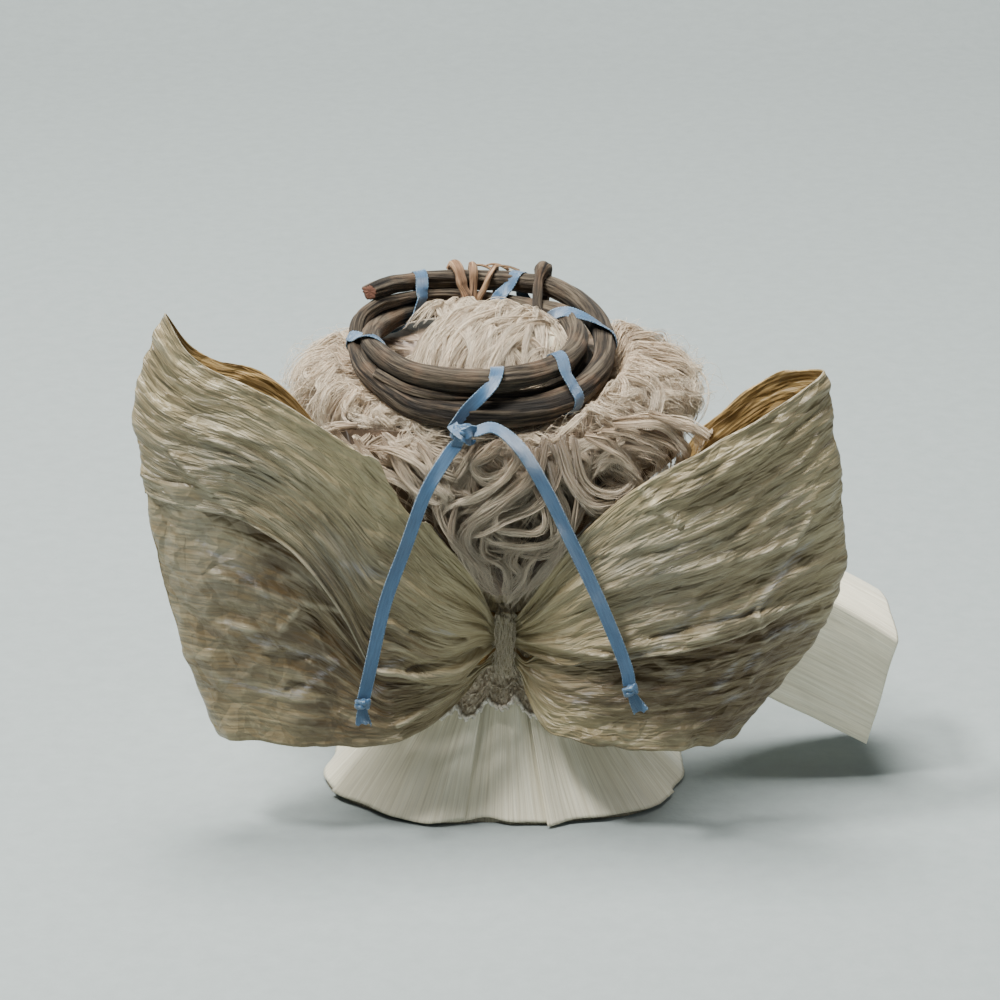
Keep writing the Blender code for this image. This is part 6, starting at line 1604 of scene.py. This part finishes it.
# %% Head, bodice and waist
head_rise = np.linspace(90, -76, 90)[:, None]
head_turn = np.linspace(0, TURN, 160, endpoint=False)[None, :]
flat = 1 - 0.14 * ease((np.sin(np.radians(head_rise)) - 0.62) / 0.38)
pull = ease((-head_rise - 10) / 66)
gathered = 1 + pull * 0.030 * np.sin(26 * head_turn + 2 * noise(head_turn * 3, head_rise / 30, seed=140)) + 0.004 * noise(head_turn * 9, head_rise / 25, seed=141)
radius = 14.1 * flat * gathered
ball = np.stack(np.broadcast_arrays(
    np.cos(head_turn) * np.cos(np.radians(head_rise)), np.sin(head_turn) * np.cos(np.radians(head_rise)), np.sin(np.radians(head_rise)),
), axis=-1) * radius[..., None] + HEAD_PLACE
neck = np.concatenate([ball[-1:] * [1, 1, 0] + [0, 0, z] for z in (76.9, 76.2, 75.4, 74.4)])
head_grid = np.concatenate([ball, neck])[::-1]
lay = np.stack(np.broadcast_arrays(np.arange(len(head_grid))[:, None] * 0.0004, head_turn * 0.012, 0.0), axis=-1)
head = sheet_piece("head_leaf", head_grid * MM, 0.0003, [cream_husk], "head", lay, closed=True)
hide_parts("head_husk")
core_ball, tree, shader = new_material("cotton_ball", 0.95, sheen=0.5)
wool = grain(tree, laid(tree, (900, 900, 900)), detail=5)
paint(tree, shader, ramp(tree, wool, [(0.3, (0.70, 0.68, 0.62)), (0.7, (0.90, 0.88, 0.83))]))
raise_bumps(tree, shader, wool, 0.0004)
inner = (ball - HEAD_PLACE) * (0.955 + 0.006 * noise(head_turn * 8, head_rise / 9, seed=142))[..., None] + HEAD_PLACE
lay = inner * MM
core = mesh_piece("head_cotton_ball", inner[::-1] * MM, grid_faces(90, 160, closed_columns=True), [core_ball], "head", lay)
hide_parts("head_core")

TORSO = ((0.00, 0.55, 0.68), (0.12, 0.56, 0.70), (0.35, 0.80, 0.92), (0.60, 1.00, 1.00), (0.78, 0.98, 0.92), (0.88, 0.72, 0.75), (0.96, 0.40, 0.50), (1.00, 0.22, 0.29))
TORSO_LOW, TORSO_TOP = 40.5, 73.8


def torso_place(turn, height, lift=0.0):
    size = read(TORSO, np.clip((height - TORSO_LOW) / (TORSO_TOP - TORSO_LOW), 0, 1))
    wide, deep = size[..., 0] * 12.5 + lift, size[..., 1] * 9.5 + lift
    return np.stack(np.broadcast_arrays(wide * np.cos(turn), deep * np.sin(turn), height), axis=-1)


torso_high = np.linspace(TORSO_LOW, TORSO_TOP, 90)[:, None]
torso_turn = np.linspace(0, TURN, 140, endpoint=False)[None, :]
folds = 0.18 * np.sin(18 * torso_turn + 2 * noise(torso_high / 8, seed=150)) + 0.12 * noise(torso_turn * 9, torso_high / 9, seed=151)
# The husks' lower ends flare out under the waist band, which holds them.
flare = 2.3 * np.exp(-(((torso_high - 41.0) / 1.6) ** 2)) * (1 + 0.10 * np.sin(23 * torso_turn))
torso_grid = torso_place(torso_turn, torso_high, -0.28 + folds + flare)
peg = torso_grid[-1:] * [1, 1, 0] + [0, 0, 75.7]
torso_grid = np.concatenate([torso_grid[:1] * [0, 0, 1], torso_grid, peg, peg * [0, 0, 1]])
lay = np.stack(np.broadcast_arrays(torso_grid[..., 2] * MM, torso_turn * 0.011, 0.0), axis=-1)
bodice = mesh_piece("bodice_bundle", torso_grid * MM, grid_faces(len(torso_grid), 140, closed_columns=True), [pale_husk], "base", lay)
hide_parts("torso")

STRAP_TURNS = (0.208, 0.278, 0.356, 0.430, 0.500, 0.570, 0.644, 0.722, 0.792)
STRAP_RISES = (0.0, 0.26, 0.62, 0.89, 1.0, 0.89, 0.62, 0.26, 0.0)
for name, side, lift in (("left_strap", 1, 0.85), ("right_strap", -1, 2.2)):
    keys = np.column_stack([np.linspace(0, 1, 9), np.array(STRAP_TURNS) * TURN, 43.1 + (70.4 - 43.1) * np.array(STRAP_RISES)])
    u = np.linspace(0, 1, 150)
    line = read(keys, u)
    centre = torso_place(line[:, 0], line[:, 1], lift)
    ahead = np.gradient(centre, axis=0)
    ahead /= np.linalg.norm(ahead, axis=1, keepdims=True)
    out = np.column_stack([centre[:, :2], 0.5 * (centre[:, 2] - ARM_HEIGHT)])
    out /= np.linalg.norm(out, axis=1, keepdims=True)
    edge = centre[None] + np.cross(ahead, out)[None] * np.linspace(-3.5, 3.5, 24)[:, None, None]
    turn = np.arctan2(edge[..., 1] / 9.5, edge[..., 0] / 12.5)
    high = np.clip(edge[..., 2], 43.1, 71.3)
    across = np.linspace(-1, 1, 24)[:, None]
    grid = torso_place(turn, high, lift + 0.10 * np.cos(across * 7) + 0.05 * noise(across * 7, u[None] * 9, seed=155))
    grid = grid * [side, 1, 1]
    lay = np.stack(np.broadcast_arrays(u[None] * 0.08, across * 0.0035 + 0.5, 0.0), axis=-1)
    strap = sheet_piece(f"{name}_leaf", grid[::side] * MM, 0.0003, [cream_husk], "base", lay[::side])
    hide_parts(name)

low, high = sides_of("waist_band")
band_turn = np.linspace(0, TURN, 180, endpoint=False)[None, :]
band_up = np.linspace(0, 1, 26)[:, None]
bulge = 0.10 * np.sin(band_up * math.pi * 3) + 0.06 * noise(band_turn * 6, band_up * 3, seed=160) - 0.2
radius = high[0] - 0.25 + bulge
z = low[2] + (high[2] - low[2]) * (band_up + 0.04 * noise(band_turn * 2, seed=161))
grid = np.stack(np.broadcast_arrays(radius * np.cos(band_turn), radius * np.sin(band_turn), z), axis=-1)
lay = np.stack(np.broadcast_arrays(band_turn * 0.010, band_up * 0.0043, 0.0), axis=-1)
waist = sheet_piece("waist_leaf", grid * MM, 0.0003, [pale_husk], "base", lay, closed=True)
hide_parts("waist_band")
print("head, bodice and waist are dressed")

# %% [markdown]
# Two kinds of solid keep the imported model's shape and only need a finish: the steel wires inside the
# arms and the dab of dried glue that holds the wings. Steel wire is drawn, so it has faint rings of
# scratches along it. Dried glue is a clear amber with small bubbles.

# %% Wire and glue
steel, tree, shader = new_material("drawn_wire", 0.35)
shader.inputs["Metallic"].default_value = 1.0
place = add(tree, "ShaderNodeTexCoord").outputs["Object"]
scratch = grain(tree, add(tree, "ShaderNodeMapping", {"Vector": place, "Scale": (900, 900, 900)}).outputs["Vector"], detail=4)
paint(tree, shader, ramp(tree, scratch, [(0.3, (0.36, 0.36, 0.35)), (0.7, (0.62, 0.61, 0.59))]))
raise_bumps(tree, shader, scratch, 0.00005)
glue, tree, shader = new_material("dried_glue", 0.28)
place = add(tree, "ShaderNodeTexCoord").outputs["Object"]
bubbles = grain(tree, add(tree, "ShaderNodeMapping", {"Vector": place, "Scale": (700, 700, 700)}).outputs["Vector"], detail=3)
paint(tree, shader, ramp(tree, bubbles, [(0.35, (0.62, 0.50, 0.30)), (0.7, (0.80, 0.72, 0.52))]))
raise_bumps(tree, shader, bubbles, 0.0002)
for node, material in (("right_arm_wire", steel), ("left_arm_wire", steel), ("wing_glue_dab", glue)):
    solid = bpy.data.objects[node]
    solid.data.materials.clear()
    solid.data.materials.append(material)
print("wire and glue are finished")

# %% [markdown]
# The doll stands on a pale sheet that curves up behind it, as on a photographer's table, under soft
# wide lights: one overhead, one from the left behind the camera and a weak one from the right.

# %% Floor and backdrop
sweep, tree, shader = new_material("paper_sweep", 0.75, specular=0.3)
place = add(tree, "ShaderNodeTexCoord").outputs["Object"]
tooth = grain(tree, add(tree, "ShaderNodeMapping", {"Vector": place, "Scale": (220, 220, 220)}).outputs["Vector"], detail=3)
paint(tree, shader, ramp(tree, tooth, [(0.3, (0.268, 0.306, 0.304)), (0.7, (0.290, 0.330, 0.329))]))
raise_bumps(tree, shader, tooth, 0.0002)
back_turn = np.linspace(0, math.pi / 2, 24)
profile = [(-1.6, 0.0), (0.55, 0.0)] + [(0.55 + 0.35 * math.sin(t), 0.35 - 0.35 * math.cos(t)) for t in back_turn[1:]] + [(0.90, 1.8)]
profile = np.array(profile)
width_at = np.linspace(-2.2, 2.2, 12)[:, None]
sweep_grid = np.stack(np.broadcast_arrays(width_at, profile[None, :, 0], profile[None, :, 1]), axis=-1)
mesh = bpy.data.meshes.new("paper_sweep")
mesh.from_pydata(sweep_grid.reshape(-1, 3).tolist(), [], grid_faces(12, len(profile))[:, ::-1].tolist())
mesh.materials.append(sweep)
mesh.shade_smooth()
floor = bpy.data.objects.new("paper_sweep", mesh)
bpy.context.scene.collection.objects.link(floor)
floor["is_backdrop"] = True


# %% Lights
def soft_light(name, place, size, power, colour, aim=(0.0, 0.0, 0.06)):
    light = bpy.data.objects.new(name, bpy.data.lights.new(name, "AREA"))
    light.data.shape = "DISK"
    light.data.size = size
    light.data.energy = power
    light.data.color = colour
    light.location = place
    light.rotation_mode = "QUATERNION"
    light.rotation_quaternion = (Vector(place) - Vector(aim)).to_track_quat("Z", "Y")
    bpy.context.scene.collection.objects.link(light)


soft_light("overhead", (-0.10, 0.12, 1.20), 0.6, 33.0, (1.0, 0.985, 0.95))
soft_light("raking", (-0.50, -0.22, 1.05), 0.22, 19.0, (1.0, 0.985, 0.955))
soft_light("left_fill", (-1.0, -0.9, 0.75), 0.8, 0.5, (0.98, 0.99, 1.0))
soft_light("right_fill", (1.1, -0.4, 0.65), 0.8, 2.0, (0.97, 0.98, 1.0))
world = bpy.data.worlds.new("studio")
bpy.context.scene.world = world
world.use_nodes = True
world.node_tree.nodes["Background"].inputs["Color"].default_value = (0.80, 0.84, 0.86, 1.0)
world.node_tree.nodes["Background"].inputs["Strength"].default_value = 0.13
print("three soft lights and a pale sky")

# %% Size and finish
low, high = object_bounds()
print("dressed size in mm:", [round(1000 * s, 1) for s in high - low])
